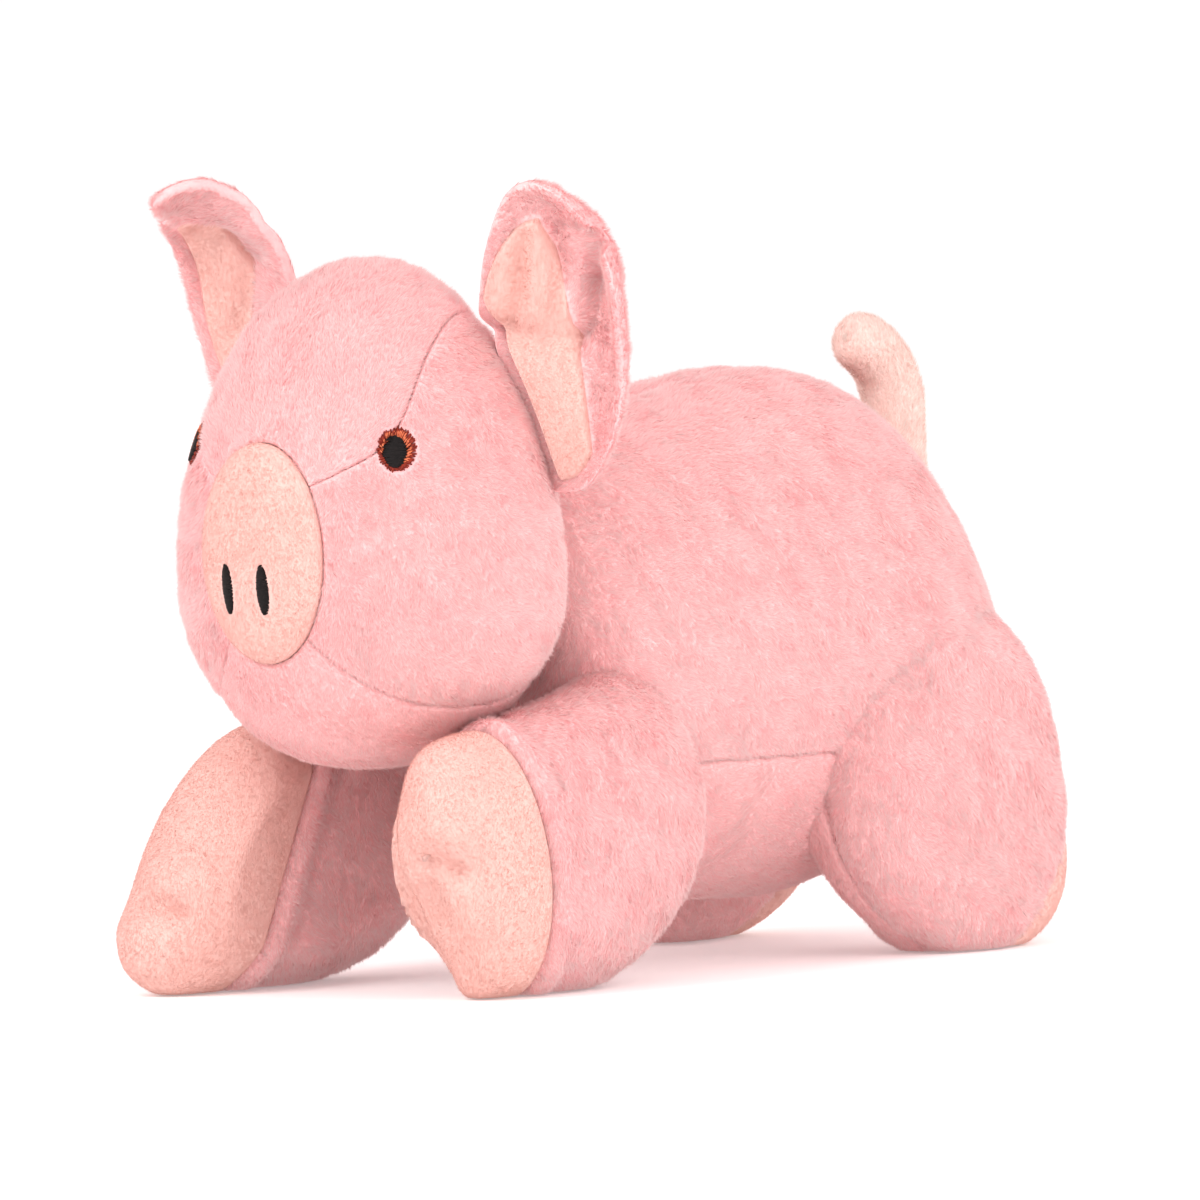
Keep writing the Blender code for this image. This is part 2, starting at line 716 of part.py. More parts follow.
def hindleg_form():
    """The hind leg laid along X: its turn runs from the rear down, and its run outwards."""
    count = len(HINDLEG_OUTLINE_SHARES)

    def point(turn, run, depth=0):
        across, scale = run_through(HINDLEG_RING_SHARES, run)
        at = (-turn % 1) * count
        first = int(at)
        four = tuple(HINDLEG_OUTLINE_SHARES[(first + step) % count] for step in (-1, 0, 1, 2))
        outline = run_through(four, (1 + at - first) / 3)
        radius = (outline * FOOT_REACH - depth) * max(scale, 0)
        angle = -turn * math.tau
        x = linear(HINDLEG_INNER + depth, HINDLEG_OUTER - depth, min(max(across, 0), 1))
        y = HIP_PLACE.y + radius * math.cos(angle)
        z = max(HIP_PLACE.z + radius * math.sin(angle), depth)
        x += FOOT_SPLAY * max(1 - z / HIP_PLACE.z, 0) ** 2
        return Vector((x, y, z))

    return point


def build_hindleg(sign, form, skins, parent, pivot):
    """The thigh and inner panels that meet round the leg, the hoof at its rear end, the stuffing."""
    name = side_name(sign)
    edge = edge_share(form, 0.25, THIGH_SEAM_SHARE, SEAM_GAP)[1]
    turns = whole_turns(LEG_TURNS)
    way = Vector((0, math.cos(HINDHOOF_SLOPE), math.sin(HINDHOOF_SLOPE)))
    reach = HIP_PLACE + way * (FOOT_REACH - HINDHOOF_DEPTH)
    middle = Vector((sign * (HINDLEG_INNER + HINDLEG_OUTER) / 2, reach.y, reach.z))
    size = FOOT_REACH * 2
    keep = block_guide(f"guide_hoof_end_{name}", middle + way * SEAM_GAP / 2, way, size, parent)
    clear = block_guide(f"guide_leg_end_{name}", middle - way * SEAM_GAP / 2, way, size, parent)

    inner_runs = spread(0, THIGH_SEAM_SHARE - edge, round(LEG_RUNS * HOOF_RUNS_SHARE))
    outer_runs = spread(THIGH_SEAM_SHARE + edge, 1, round(LEG_RUNS * HOOF_RUNS_SHARE))
    bm = shell(form, inner_runs, turns, SKIN, True)
    combine(node(f"hindleg_inner_{name}", bm, skins["smooth plush"], pivot, parent, sign), clear)
    bm = shell(form, outer_runs, turns, SKIN, True)
    combine(node(f"thigh_{name}", bm, skins["plush"], pivot, parent, sign), clear)

    bm = whole_form(form, 0, LEG_TURNS, LEG_RUNS - 4)
    hoof = node(f"hindhoof_{name}", bm, skins["velour"], pivot, parent, sign)
    inside = whole_form(form, SKIN, LEG_TURNS, LEG_RUNS - 4)
    for v in inside.verts:
        v.co.x *= sign
    if sign < 0:
        bmesh.ops.reverse_faces(inside, faces=inside.faces[:])
    combine(hoof, keep, "INTERSECT")
    combine(hoof, guide(f"guide_hoof_inside_{name}", inside, parent))
    bm = whole_form(form, SKIN + FILL_GAP, LEG_TURNS, CORE_RUNS)
    node(f"hindleg_stuffing_{name}", bm, skins["fill"], pivot, parent, sign)


def tail_form():
    """The tail as rings square to its bent middle line."""
    places = tuple(
        (TAIL_PIVOT.y + back * TAIL_REACH, TAIL_PIVOT.z + rise * TAIL_REACH)
        for back, rise in TAIL_WAY_SHARES
    )

    def point(turn, run, depth=0):
        y, z = run_through(places, run)
        y2, z2 = run_through(places, min(run + STEP_SHARE, 1))
        y1, z1 = run_through(places, max(run - STEP_SHARE, 0))
        along = Vector((0, y2 - y1, z2 - z1)).normalized()
        side = Vector((1, 0, 0))
        up = side.cross(along)
        full = run_through(TAIL_WIDTH_SHARES, run) * TAIL_RADIUS
        cap = min(run, 1 - run) / TAIL_CAP_SHARE
        cap = math.sqrt(max(1 - (1 - min(cap, 1)) ** 2, 0))
        radius = max(full * cap - depth * (1 if cap > 0 else 0), 0)
        centre = Vector((0, y, z))
        if run in (0, 1):
            centre += along * (depth if run == 0 else -depth)
        angle = turn * math.tau
        return centre + side * radius * math.cos(angle) + up * radius * math.sin(angle)

    return point


def build_tail(skins, parent):
    form = tail_form()
    turns = whole_turns(TAIL_TURNS)
    runs = spread(*TAIL_SKIN_SHARES, TAIL_RUNS)
    bm = shell(form, runs, turns, TAIL_SKIN, True)
    node("tail_skin", bm, skins["pale plush"], TAIL_PIVOT, parent)
    depth = TAIL_SKIN + TAIL_FILL_GAP
    bm = bmesh.new()
    rings = []
    for run in spread(*TAIL_FILL_SHARES, TAIL_RUNS - 2):
        rings.append([bm.verts.new(form(turn, run, depth)) for turn in turns(run)])
    for a, b in zip(rings, rings[1:]):
        for c in range(TAIL_TURNS):
            d = (c + 1) % TAIL_TURNS
            bm.faces.new([a[c], a[d], b[d], b[c]])
    bm.faces.new(rings[0][::-1])
    bm.faces.new(rings[-1])
    face_out(bm)
    node("tail_stuffing", bm, skins["fill"], TAIL_PIVOT, parent)


def centre_on_ground(toy):
    """Slides the whole toy so that its length and its width are even about the origin."""
    graph = bpy.context.evaluated_depsgraph_get()
    corners = []
    for piece in bpy.data.objects:
        if piece.type == "MESH" and not piece.hide_render:
            made = piece.evaluated_get(graph)
            corners += [made.matrix_world @ Vector(corner) for corner in made.bound_box]
    for axis in (0, 1):
        places = [corner[axis] for corner in corners]
        toy.location[axis] -= (min(places) + max(places)) / 2
    bpy.context.view_layer.update()


def main():
    for old in list(bpy.data.objects):
        bpy.data.objects.remove(old, do_unlink=True)
    skins = {
        "plush": material("pink_plush", (0.92, 0.49, 0.50), sheen=0.4),
        "smooth plush": material("smooth_pink_plush", (0.88, 0.42, 0.44), sheen=0.3),
        "pale plush": material("pale_plush", (0.94, 0.62, 0.58), sheen=0.3),
        "velour": material("cream_velour", (0.93, 0.70, 0.62), sheen=0.2),
        "fill": material("fibre_fill", (0.90, 0.89, 0.87), 1.0),
        "rust thread": material("rust_thread", (0.25, 0.03, 0.015), 0.5),
        "black thread": material("black_thread", (0.005, 0.003, 0.003), 0.5),
    }
    body_sizes = (BODY_FRONT, BODY_LENGTH, BELLY_HEIGHT, BACK_HEIGHT, 0, BODY_HALF_WIDTH)
    body = ring_form(BODY_RING_SHARES, *body_sizes)
    head_sizes = (HEAD_FRONT, HEAD_LENGTH, CHIN_HEIGHT, CROWN_HEIGHT, 0, HEAD_HALF_WIDTH)
    head = ring_form(HEAD_RING_SHARES, *head_sizes)
    # The foreleg's rings reach past its flat inner face, which cuts them.
    foreleg_half = (FORELEG_OUTER - FORELEG_INNER) * FORELEG_HALF_SHARE
    forelegs = {
        sign: ring_form(
            FORELEG_RING_SHARES,
            FORELEG_FRONT,
            FORELEG_LENGTH,
            -FLAT_DEPTH,
            FORELEG_TOP,
            FORELEG_OUTER - foreleg_half,
            foreleg_half,
            inner=FORELEG_INNER,
            lean=lean,
        )
        for sign, lean in ((1, LEFT_HOOF_LEAN), (-1, RIGHT_HOOF_LEAN))
    }
    hindleg = hindleg_form()

    toy = joint_empty("toy", Vector())
    neck_joint = joint_empty("joint_neck", NECK_PIVOT, toy)
    head_joint = joint_empty("joint_head", NECK_PIVOT, neck_joint)
    tail_joint = joint_empty("joint_tail", TAIL_PIVOT, toy)

    socket = ball_guide("guide_neck_socket", NECK_PIVOT, NECK_RADIUS + TURNING_GAP, toy)
    tail_socket = ball_guide("guide_tail_socket", TAIL_PIVOT, TAIL_ROOT_RADIUS + TURNING_GAP, toy)
    body_cutters = [socket, tail_socket]
    head_cutters = [socket]
    for sign in (1, -1):
        name = side_name(sign)
        for place, face, radius, part in (
            (SHOULDER_PLACE, FORELEG_INNER, SHOULDER_RADIUS, "shoulder"),
            (HIP_PLACE, HINDLEG_INNER, HIP_RADIUS, "hip"),
        ):
            start = Vector((sign * (face - SEAT_GAP), place.y, place.z))
            end = start + Vector((sign * SOCKET_OVERRUN, 0, 0))
            cutter = rod_guide(f"guide_{part}_socket_{name}", start, end, radius + TURNING_GAP, toy)
            body_cutters.append(cutter)
        head_cutters.append(groove_guide(sign, head_joint))

    build_body(body, skins, toy, body_cutters)
    build_neck(skins, neck_joint)
    build_head(head, skins, head_joint, head_cutters)
    build_face(head, skins, head_joint)
    for sign in (1, -1):
        name = side_name(sign)
        ear_place = to_side(EAR_PIVOT, sign)
        build_ear(sign, skins, joint_empty(f"joint_ear_{name}", ear_place, head_joint))
        shoulder = Vector((FORELEG_INNER, SHOULDER_PLACE.y, SHOULDER_PLACE.z))
        leg_joint = joint_empty(f"joint_foreleg_{name}", to_side(shoulder, sign), toy)
        build_foreleg(sign, forelegs[sign], skins, leg_joint, shoulder)
        hip = Vector((HINDLEG_INNER, HIP_PLACE.y, HIP_PLACE.z))
        leg_joint = joint_empty(f"joint_hindleg_{name}", to_side(hip, sign), toy)
        build_hindleg(sign, hindleg, skins, leg_joint, hip)
    build_tail(skins, tail_joint)
    bpy.context.view_layer.update()
    centre_on_ground(toy)


main()
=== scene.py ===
"""The looks of the plush pig: sewn panels, their pile, velour hooves and pad, and thread work.

Metres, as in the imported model. The soft forms are the same runs of oval rings as the solids',
here with full panels, sunk seams and a pile of fine fibres combed over the cloth.
"""

import copy
import math
from collections import namedtuple
from contextlib import contextmanager

import bmesh
import bpy
import numpy as np
from mathutils import Matrix, Vector
from mathutils.bvhtree import BVHTree


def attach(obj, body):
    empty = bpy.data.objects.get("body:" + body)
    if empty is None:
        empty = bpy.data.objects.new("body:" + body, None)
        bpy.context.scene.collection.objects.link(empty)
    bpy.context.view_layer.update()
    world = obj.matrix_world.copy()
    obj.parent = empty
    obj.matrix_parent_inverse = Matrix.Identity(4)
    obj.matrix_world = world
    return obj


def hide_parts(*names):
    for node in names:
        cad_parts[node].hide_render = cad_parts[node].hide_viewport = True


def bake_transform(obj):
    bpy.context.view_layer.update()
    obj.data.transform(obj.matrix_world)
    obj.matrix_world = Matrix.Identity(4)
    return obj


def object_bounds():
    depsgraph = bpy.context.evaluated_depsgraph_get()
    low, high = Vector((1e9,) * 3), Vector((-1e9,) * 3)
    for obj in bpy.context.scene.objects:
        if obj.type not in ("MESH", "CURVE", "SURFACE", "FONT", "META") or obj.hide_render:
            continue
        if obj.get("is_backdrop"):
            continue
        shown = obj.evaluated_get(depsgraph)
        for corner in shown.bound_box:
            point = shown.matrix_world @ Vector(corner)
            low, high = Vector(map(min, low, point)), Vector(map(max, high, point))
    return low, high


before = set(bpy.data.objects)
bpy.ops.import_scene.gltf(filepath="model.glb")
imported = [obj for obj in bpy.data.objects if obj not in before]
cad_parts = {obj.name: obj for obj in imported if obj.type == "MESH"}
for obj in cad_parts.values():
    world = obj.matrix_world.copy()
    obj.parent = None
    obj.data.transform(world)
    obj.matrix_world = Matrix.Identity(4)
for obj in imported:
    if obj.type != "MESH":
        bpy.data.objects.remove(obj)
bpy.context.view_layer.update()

# The toy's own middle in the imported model. The places below are measured from it.
MIDDLE = np.array((-0.00312, -0.00231, 0.0))
# The sides, and which way X runs out on them. Places are given for the left one.
SIDES = {"left": 1, "right": -1}
# How high over the ground the soles' cloth, all cloth and the pile's tips stay.
SOLE_CLEAR, CLOTH_CLEAR, PILE_CLEAR = 0.0004, 0.0006, 0.0002

# Where the parts turn.
NECK_PIVOT = np.array((0, -0.052, 0.128))
EAR_PIVOT = np.array((0.0475, -0.076, 0.199))
SHOULDER = np.array((0.037, -0.058, 0.058))
HIP = np.array((0.038, 0.098, 0.056))
TAIL_PIVOT = np.array((0, 0.141, 0.148))

# Rings of each form, front to back: place along it, half width, top, bottom and middle.
BODY_RINGS = (
    (0.000, 0.00, 0.60, 0.60, 0.60),
    (0.010, 0.46, 0.78, 0.26, 0.54),
    (0.045, 0.70, 0.865, 0.125, 0.51),
    (0.120, 0.85, 0.905, 0.055, 0.51),
    (0.220, 0.93, 0.935, 0.02, 0.52),
    (0.360, 0.975, 0.965, 0.005, 0.52),
    (0.500, 1.00, 0.99, 0.00, 0.52),
    (0.640, 1.00, 1.00, 0.00, 0.53),
    (0.760, 0.92, 0.965, 0.05, 0.54),
    (0.860, 0.74, 0.89, 0.12, 0.55),
    (0.930, 0.54, 0.81, 0.20, 0.56),
    (0.975, 0.36, 0.73, 0.30, 0.56),
    (0.995, 0.20, 0.65, 0.42, 0.56),
    (1.000, 0.00, 0.55, 0.55, 0.55),
)
HEAD_RINGS = (
    (0.000, 0.00, 0.44, 0.44, 0.44),
    (0.008, 0.15, 0.525, 0.355, 0.44),
    (0.030, 0.27, 0.60, 0.28, 0.44),
    (0.065, 0.36, 0.65, 0.235, 0.44),
    (0.095, 0.395, 0.668, 0.215, 0.44),
    (0.125, 0.47, 0.705, 0.175, 0.43),
    (0.170, 0.60, 0.765, 0.12, 0.41),
    (0.250, 0.77, 0.85, 0.06, 0.38),
    (0.370, 0.91, 0.94, 0.015, 0.355),
    (0.520, 0.99, 0.99, 0.00, 0.34),
    (0.660, 1.00, 1.00, 0.005, 0.34),
    (0.790, 0.95, 0.965, 0.05, 0.35),
    (0.890, 0.83, 0.885, 0.13, 0.365),
    (0.960, 0.62, 0.76, 0.24, 0.38),
    (0.990, 0.40, 0.64, 0.34, 0.385),
    (1.000, 0.00, 0.42, 0.42, 0.42),
)
FORELEG_RINGS = (
    (0.000, 0.00, 0.50, 0.50, 0.50),
    (0.020, 0.38, 0.68, 0.30, 0.49),
    (0.070, 0.66, 0.79, 0.14, 0.46),
    (0.150, 0.86, 0.85, 0.03, 0.44),
    (0.260, 0.96, 0.88, 0.00, 0.43),
    (0.380, 1.00, 0.905, 0.00, 0.43),
    (0.520, 1.00, 0.935, 0.005, 0.46),
    (0.650, 0.98, 0.975, 0.04, 0.50),
    (0.780, 0.92, 0.985, 0.11, 0.54),
    (0.890, 0.78, 0.91, 0.22, 0.57),
    (0.960, 0.56, 0.82, 0.36, 0.59),
    (0.990, 0.30, 0.72, 0.49, 0.60),
    (1.000, 0.00, 0.60, 0.60, 0.60),
)
# The runs at which the pad and the fore hooves end, and the lean of the forelegs: up to which run
# it goes, and about which share of the height.
PAD_EDGE = 4 / 15
HOOF_EDGE = 4.35 / 12
LEAN_END = 7.5 / 12
LEAN_LEVEL = 0.35
# Seams that run along a form, as turns about it from the left side up.
GUSSET_TURNS = (0.105, 0.100, 0.104, 0.143, 0.166, 0.176, 0.180, 0.180)
CHIN_TURNS = (-0.135, -0.130, -0.122, -0.112, -0.104, -0.100, -0.100, -0.100)
BELLY_TURNS = (-0.100, -0.090, -0.080, -0.077, -0.080, -0.090, -0.110, -0.130)
# The hind leg: its outline at eighths of a turn, and its rings from the inner face out, as places
# across and scales. Then the run of the thigh's seam, how far out the thigh stands and the foot
# splays, how far the leg reaches, and the depth and the way of its hoof.
HINDLEG_OUTLINE = (0.778, 0.724, 0.724, 0.719, 0.708, 0.789, 0.913, 1.00)
HINDLEG_RINGS = (
    (0.00, 0.00),
    (0.00, 0.55),
    (0.01, 0.82),
    (0.10, 0.93),
    (0.28, 0.995),
    (0.48, 1.00),
    (0.66, 0.95),
    (0.81, 0.83),
    (0.92, 0.62),
    (0.98, 0.36),
    (1.00, 0.00),
)
THIGH_EDGE = 0.46
THIGH_OUT = 0.080
FOOT_SPLAY = 0.011
FOOT_REACH = 0.062
HINDHOOF_DEPTH = 0.013
HOOF_WAY = np.array((0, math.cos(math.radians(-42)), math.sin(math.radians(-42))))
# The ears: rows up an ear with its first and last edge, the way its base runs, and for each side
# the way it stands, how deep it is cupped and the radius of its tip's curl.
EAR_HEIGHT = 0.054
EAR_BASE = 0.079
EAR_ROWS = (
    (0.00, -0.54, 0.27),
    (0.20, -0.56, 0.46),
    (0.42, -0.47, 0.60),
    (0.62, -0.34, 0.67),
    (0.78, -0.17, 0.675),
    (0.89, 0.02, 0.64),
    (0.965, 0.18, 0.56),
    (1.00, 0.30, 0.44),
)
EAR_BASE_WAY = np.array((0.32, 0.20, -0.93))
EAR_BENDS = {
    "left": (np.array((0.90, 0.30, 0.32)), 0.011, 0.070),
    "right": (np.array((0.70, -0.02, 0.46)), 0.006, 0.022),
}
EAR_CURL = math.radians(52)
EAR_CURL_START = 0.62
# The tail's middle line, back and up in its steps, and its widths along it.
TAIL_STEP = 0.010
TAIL_HALF = 0.0086
TAIL_CAP = 0.12
TAIL_WAY = (
    (-1.05, -0.1),
    (0.0, 0.0),
    (0.42, 1.05),
    (0.46, 2.25),
    (0.10, 3.35),
    (-0.68, 4.15),
    (-1.62, 4.45),
)
TAIL_WIDTHS = (1.0, 1.42, 1.12, 1.12, 1.12, 1.08, 1.0)

CLOTH = 0.0024


def spline(a, b, c, d, f):
    """The smooth curve from b to c, coming from a and going on to d."""
    return ((-a + 3 * b - 3 * c + d) * f**3 + (2 * a - 5 * b + 4 * c - d) * f**2 + (c - a) * f) / 2 + b


def through(rows, at):
    """The smooth curve through the rows at places from 0 to 1."""
    rows = np.asarray(rows, float)
    if rows.ndim == 1:
        rows = rows[:, None]
    spans = len(rows) - 1
    at = np.clip(at, 0, 1)
    first = np.minimum((at * spans).astype(int), spans - 1)
    f = (at * spans - first)[..., None]
    return spline(*(rows[np.clip(first + step, 0, spans)] for step in (-1, 0, 1, 2)), f)


def between(a, b, f):
    return a + (b - a) * f


def eased(values, low, high):
    """0 below low and 1 above high, smoothly."""
    f = np.clip((values - low) / (high - low), 0, 1)
    return f * f * (3 - 2 * f)


def length_of(vectors):
    return np.sqrt((vectors**2).sum(-1))


def unit(vectors):
    return vectors / np.maximum(length_of(vectors), 1e-12)[..., None]


def grid_of(turn, run):
    """The turn and the run of each point of a grid."""
    return np.broadcast_arrays(np.asarray(turn, float), np.asarray(run, float))


def ring_form(rings, front, length, low, top, middle, half_width, inner=None, lean=0):
    """A form laid along Y. Gives its points at turns and runs."""

    def point(turn, run):
        turn, run = grid_of(turn, run)
        along, width, above, below, centre = np.moveaxis(through(rings, run), -1, 0)
        angle = turn * math.tau
        rise = np.where(np.sin(angle) > 0, above - centre, centre - below)
        height = between(low, top, centre + rise * np.sin(angle))
        x = middle + half_width * np.maximum(width, 0) * np.cos(angle)
        y = between(front, front + length, along)
        y = y + lean * (height / top - LEAN_LEVEL) * np.sqrt(np.maximum(1 - run / LEAN_END, 0))
        if inner is not None:
            x, height = np.maximum(x, inner), np.maximum(height, 0)
        return np.stack([x, y, height], -1)

    return point


def hindleg_point(turn, run):
    """The hind leg, laid along X from its inner face out."""
    turn, run = grid_of(turn, run)
    across, scale = np.moveaxis(through(HINDLEG_RINGS, run), -1, 0)
    table = np.array(HINDLEG_OUTLINE)
    at = (-turn % 1) * len(table)
    first = np.floor(at).astype(int)
    outline = spline(*(table[(first + step) % len(table)] for step in (-1, 0, 1, 2)), at - first)
    radius = outline * FOOT_REACH * np.maximum(scale, 0)
    angle = -turn * math.tau
    y = HIP[1] + radius * np.cos(angle)
    z = np.maximum(HIP[2] + radius * np.sin(angle), 0)
    x = between(HIP[0], THIGH_OUT, np.clip(across, 0, 1)) + FOOT_SPLAY * np.maximum(1 - z / HIP[2], 0) ** 2
    return np.stack([x, y, z], -1)


def tail_point(turn, run):
    """The tail, as rings square to its bent middle line."""
    turn, run = grid_of(turn, run)
    line = np.array(TAIL_WAY) * TAIL_STEP + TAIL_PIVOT[1:]
    here, ahead = through(line, np.maximum(run - 0.001, 0)), through(line, np.minimum(run + 0.001, 1))
    way = unit(ahead - here)
    middle = through(line, run)
    full = through(TAIL_WIDTHS, run)[..., 0] * TAIL_HALF
    cap = np.minimum(run, 1 - run) / TAIL_CAP
    full = full * np.where(cap < 1, np.sqrt(np.maximum(1 - (1 - np.minimum(cap, 1)) ** 2, 0)), 1)
    angle = turn * math.tau
    side, out = full * np.cos(angle), full * np.sin(angle)
    return np.stack([side, middle[..., 0] - way[..., 1] * out, middle[..., 1] + way[..., 0] * out], -1)


def ear_point(side, first_border=0.0, last_borders=(0.0, 0.0), start=0.0, ends=(1.0, 1.0)):
    """The middle sheet of an ear: its turn runs across it and its run up it."""
    way, cup, curl_radius = EAR_BENDS[side]
    up, base = unit(way), -unit(EAR_BASE_WAY)
    facing = unit(np.cross(up, base))

    def point(across, run):
        across, run = grid_of(across, run)
        row = between(start, between(*ends, across), run)
        rise, first, last = np.moveaxis(through(EAR_ROWS, row), -1, 0)
        first, last = first * EAR_BASE, last * EAR_BASE
        q = between(first + first_border, last - between(*last_borders, run), across)
        p = rise * EAR_HEIGHT - 0.07 * np.maximum(1 - 2 * row, 0) ** 2 * q * q / EAR_BASE
        middle = 2 * (q - first) / (last - first) - 1
        n = cup * middle**2 * np.sin(math.pi * 0.75 * row)
        # The tip curls over beyond a slanted line.
        beyond = np.maximum(p * math.sin(EAR_CURL) + q * math.cos(EAR_CURL) - EAR_HEIGHT * EAR_CURL_START, 0)
        bend = beyond / curl_radius
        short = curl_radius * np.sin(bend) - beyond
        p, q = p + short * math.sin(EAR_CURL), q + short * math.cos(EAR_CURL)
        n = n + curl_radius * (1 - np.cos(bend))
        return EAR_PIVOT + up * p[..., None] + base * q[..., None] + facing * n[..., None]

    return point


body_form = ring_form(
    BODY_RINGS, front=-0.050, length=0.198, low=0.021, top=0.186, middle=0, half_width=0.068
)
head_form = ring_form(
    HEAD_RINGS, front=-0.150, length=0.097, low=0.0735, top=0.2325, middle=0, half_width=0.067
)
# The foreleg from its flat inner face out. The left hoof leans forward at its top, the right one back.
FORELEG_INNER, FORELEG_OUTER = 0.037, 0.0865
FORELEG_HALF = (FORELEG_OUTER - FORELEG_INNER) * 0.57
foreleg_forms = {
    side: ring_form(
        FORELEG_RINGS,
        front=-0.136,
        length=0.118,
        low=-0.00055,
        top=0.0965,
        middle=FORELEG_OUTER - FORELEG_HALF,
        half_width=FORELEG_HALF,
        inner=FORELEG_INNER,
        lean=lean,
    )
    for side, lean in (("left", -0.013), ("right", 0.068))
}


def seam_turn(turns, runs, first_run=0.0):
    """A seam as a turn at each run, from its first run to the end of its form."""
    return through(turns, (runs - first_run) / (1 - first_run))[..., 0]


def close_set(count, gather=0.8):
    """Places from 0 to 1 that lie closer together at both ends."""
    u = np.linspace(0, 1, count)
    return u - gather * np.sin(2 * math.pi * u) / (2 * math.pi)


def run_set(low, high, count, gather):
    """Runs for the rows of a grid, closer together at both ends."""
    return between(low, high, close_set(count, gather))[:, None]


def round_set(count):
    """Turns for the columns of a grid that goes all the way round."""
    return (np.arange(count) / count)[None, :]


def facing_of(points, wraps):
    """Which way the cloth faces at each point of a grid."""
    if wraps:
        across = np.roll(points, -1, 1) - np.roll(points, 1, 1)
    else:
        across = np.gradient(points, axis=1)
    out = unit(np.cross(np.gradient(points, axis=0), across))
    for end, beside in ((0, 1), (-1, -2)):
        if length_of(points[end] - points[end][0]).max() < 1e-5:
            out[end] = unit(out[beside].mean(0))
    return out


def seam_reach(points, wraps, ends):
    """How far each point of a grid lies from its panel's seams."""
    reach = np.full(points.shape[:2], 1.0)
    if not wraps:
        steps = length_of(np.diff(points, axis=1))
        before = np.concatenate([np.zeros((len(points), 1)), np.cumsum(steps, 1)], 1)
        reach = np.minimum(reach, np.minimum(before, before[:, -1:] - before))
    steps = length_of(np.diff(points, axis=0))
    before = np.concatenate([np.zeros((1, points.shape[1])), np.cumsum(steps, 0)], 0)
    if ends[0]:
        reach = np.minimum(reach, before)
    if ends[1]:
        reach = np.minimum(reach, before[-1:] - before)
    return reach


def rolled(reach, roll):
    """How deep a panel's edge rolls in at a distance from its seam."""
    share = np.clip(1 - reach / roll, 0, 1)
    return roll * (1 - np.sqrt(1 - share**2)) * 0.7


def form_tree(form):
    """A search tree of a whole form, to tell how far points lie from it."""
    rows, columns = 40, 48
    grid = form(round_set(columns), np.linspace(0, 1, rows)[:, None])
    return BVHTree.FromPolygons(grid.reshape(-1, 3).tolist(), grid_faces(rows, columns, True).tolist())


def depth_outside(tree, points):
    """How far points lie outside a form, less than 0 inside it."""
    flat = points.reshape(-1, 3)
    out = np.empty(len(flat))
    for i, p in enumerate(flat):
        near, facing, _, far = tree.find_nearest(Vector(p))
        out[i] = math.copysign(far, (Vector(p) - near).dot(facing))
    return out.reshape(points.shape[:-1])


def flow_into(tree, points, out, reach):
    """Lifts the points near another form, so that one flows into the other."""
    share = np.clip(1 - np.maximum(depth_outside(tree, points), 0) / reach, 0, 1)
    return out * (share**2 * reach / 4)[..., None]


def value_noise(points, scale, seed):
    """Smooth noise from -1 to 1 on points, from sums of a few turned waves."""
    rng = np.random.default_rng(seed)
    total = np.zeros(points.shape[:-1])
    for _ in range(7):
        way = rng.normal(size=3)
        way = way / np.linalg.norm(way) * rng.uniform(0.7, 1.4)
        total = total + np.sin((points @ way) * math.tau / scale + rng.uniform(0, math.tau))
    return np.clip(total / 3.2, -1, 1)


# The camera's view of the toy, in pixels of the picture: its scale, its half size and where the
# toy's own middle shows in it. The folds below are placed in this view.
PIXELS_PER_METRE = 3130
PICTURE_HALF = 600
MIDDLE_SHOWN = (578, 969)
azimuth, elevation, roll = math.radians(45), math.radians(4), math.radians(2.1)
level = math.cos(elevation)
back = Vector((math.sin(azimuth) * level, -math.cos(azimuth) * level, math.sin(elevation)))
right = Vector((math.cos(azimuth), math.sin(azimuth), 0))
up = back.cross(right)
aim = right * (PICTURE_HALF - MIDDLE_SHOWN[0]) / PIXELS_PER_METRE
aim += Vector((0, 0, (MIDDLE_SHOWN[1] - PICTURE_HALF) / PIXELS_PER_METRE))
view_right = right * math.cos(roll) - up * math.sin(roll)
view_up = back.cross(view_right)


def seen_at(points):
    """The pixels at which points of the toy, about its own middle, show in the view."""
    away = points - np.array(aim)
    over, rise = away @ np.array(view_right) * PIXELS_PER_METRE, away @ np.array(view_up) * PIXELS_PER_METRE
    return np.stack([PICTURE_HALF + over, PICTURE_HALF - rise], -1)


def line_distance(places, line):
    """How far places in the view lie from a line through several points."""
    best = np.full(places.shape[:-1], 1e9)
    for a, b in zip(line[:-1], line[1:]):
        a, b = np.array(a, float), np.array(b, float)
        share = np.clip(((places - a) @ (b - a)) / ((b - a) @ (b - a)), 0, 1)
        best = np.minimum(best, length_of(places - a - share[..., None] * (b - a)))
    return best


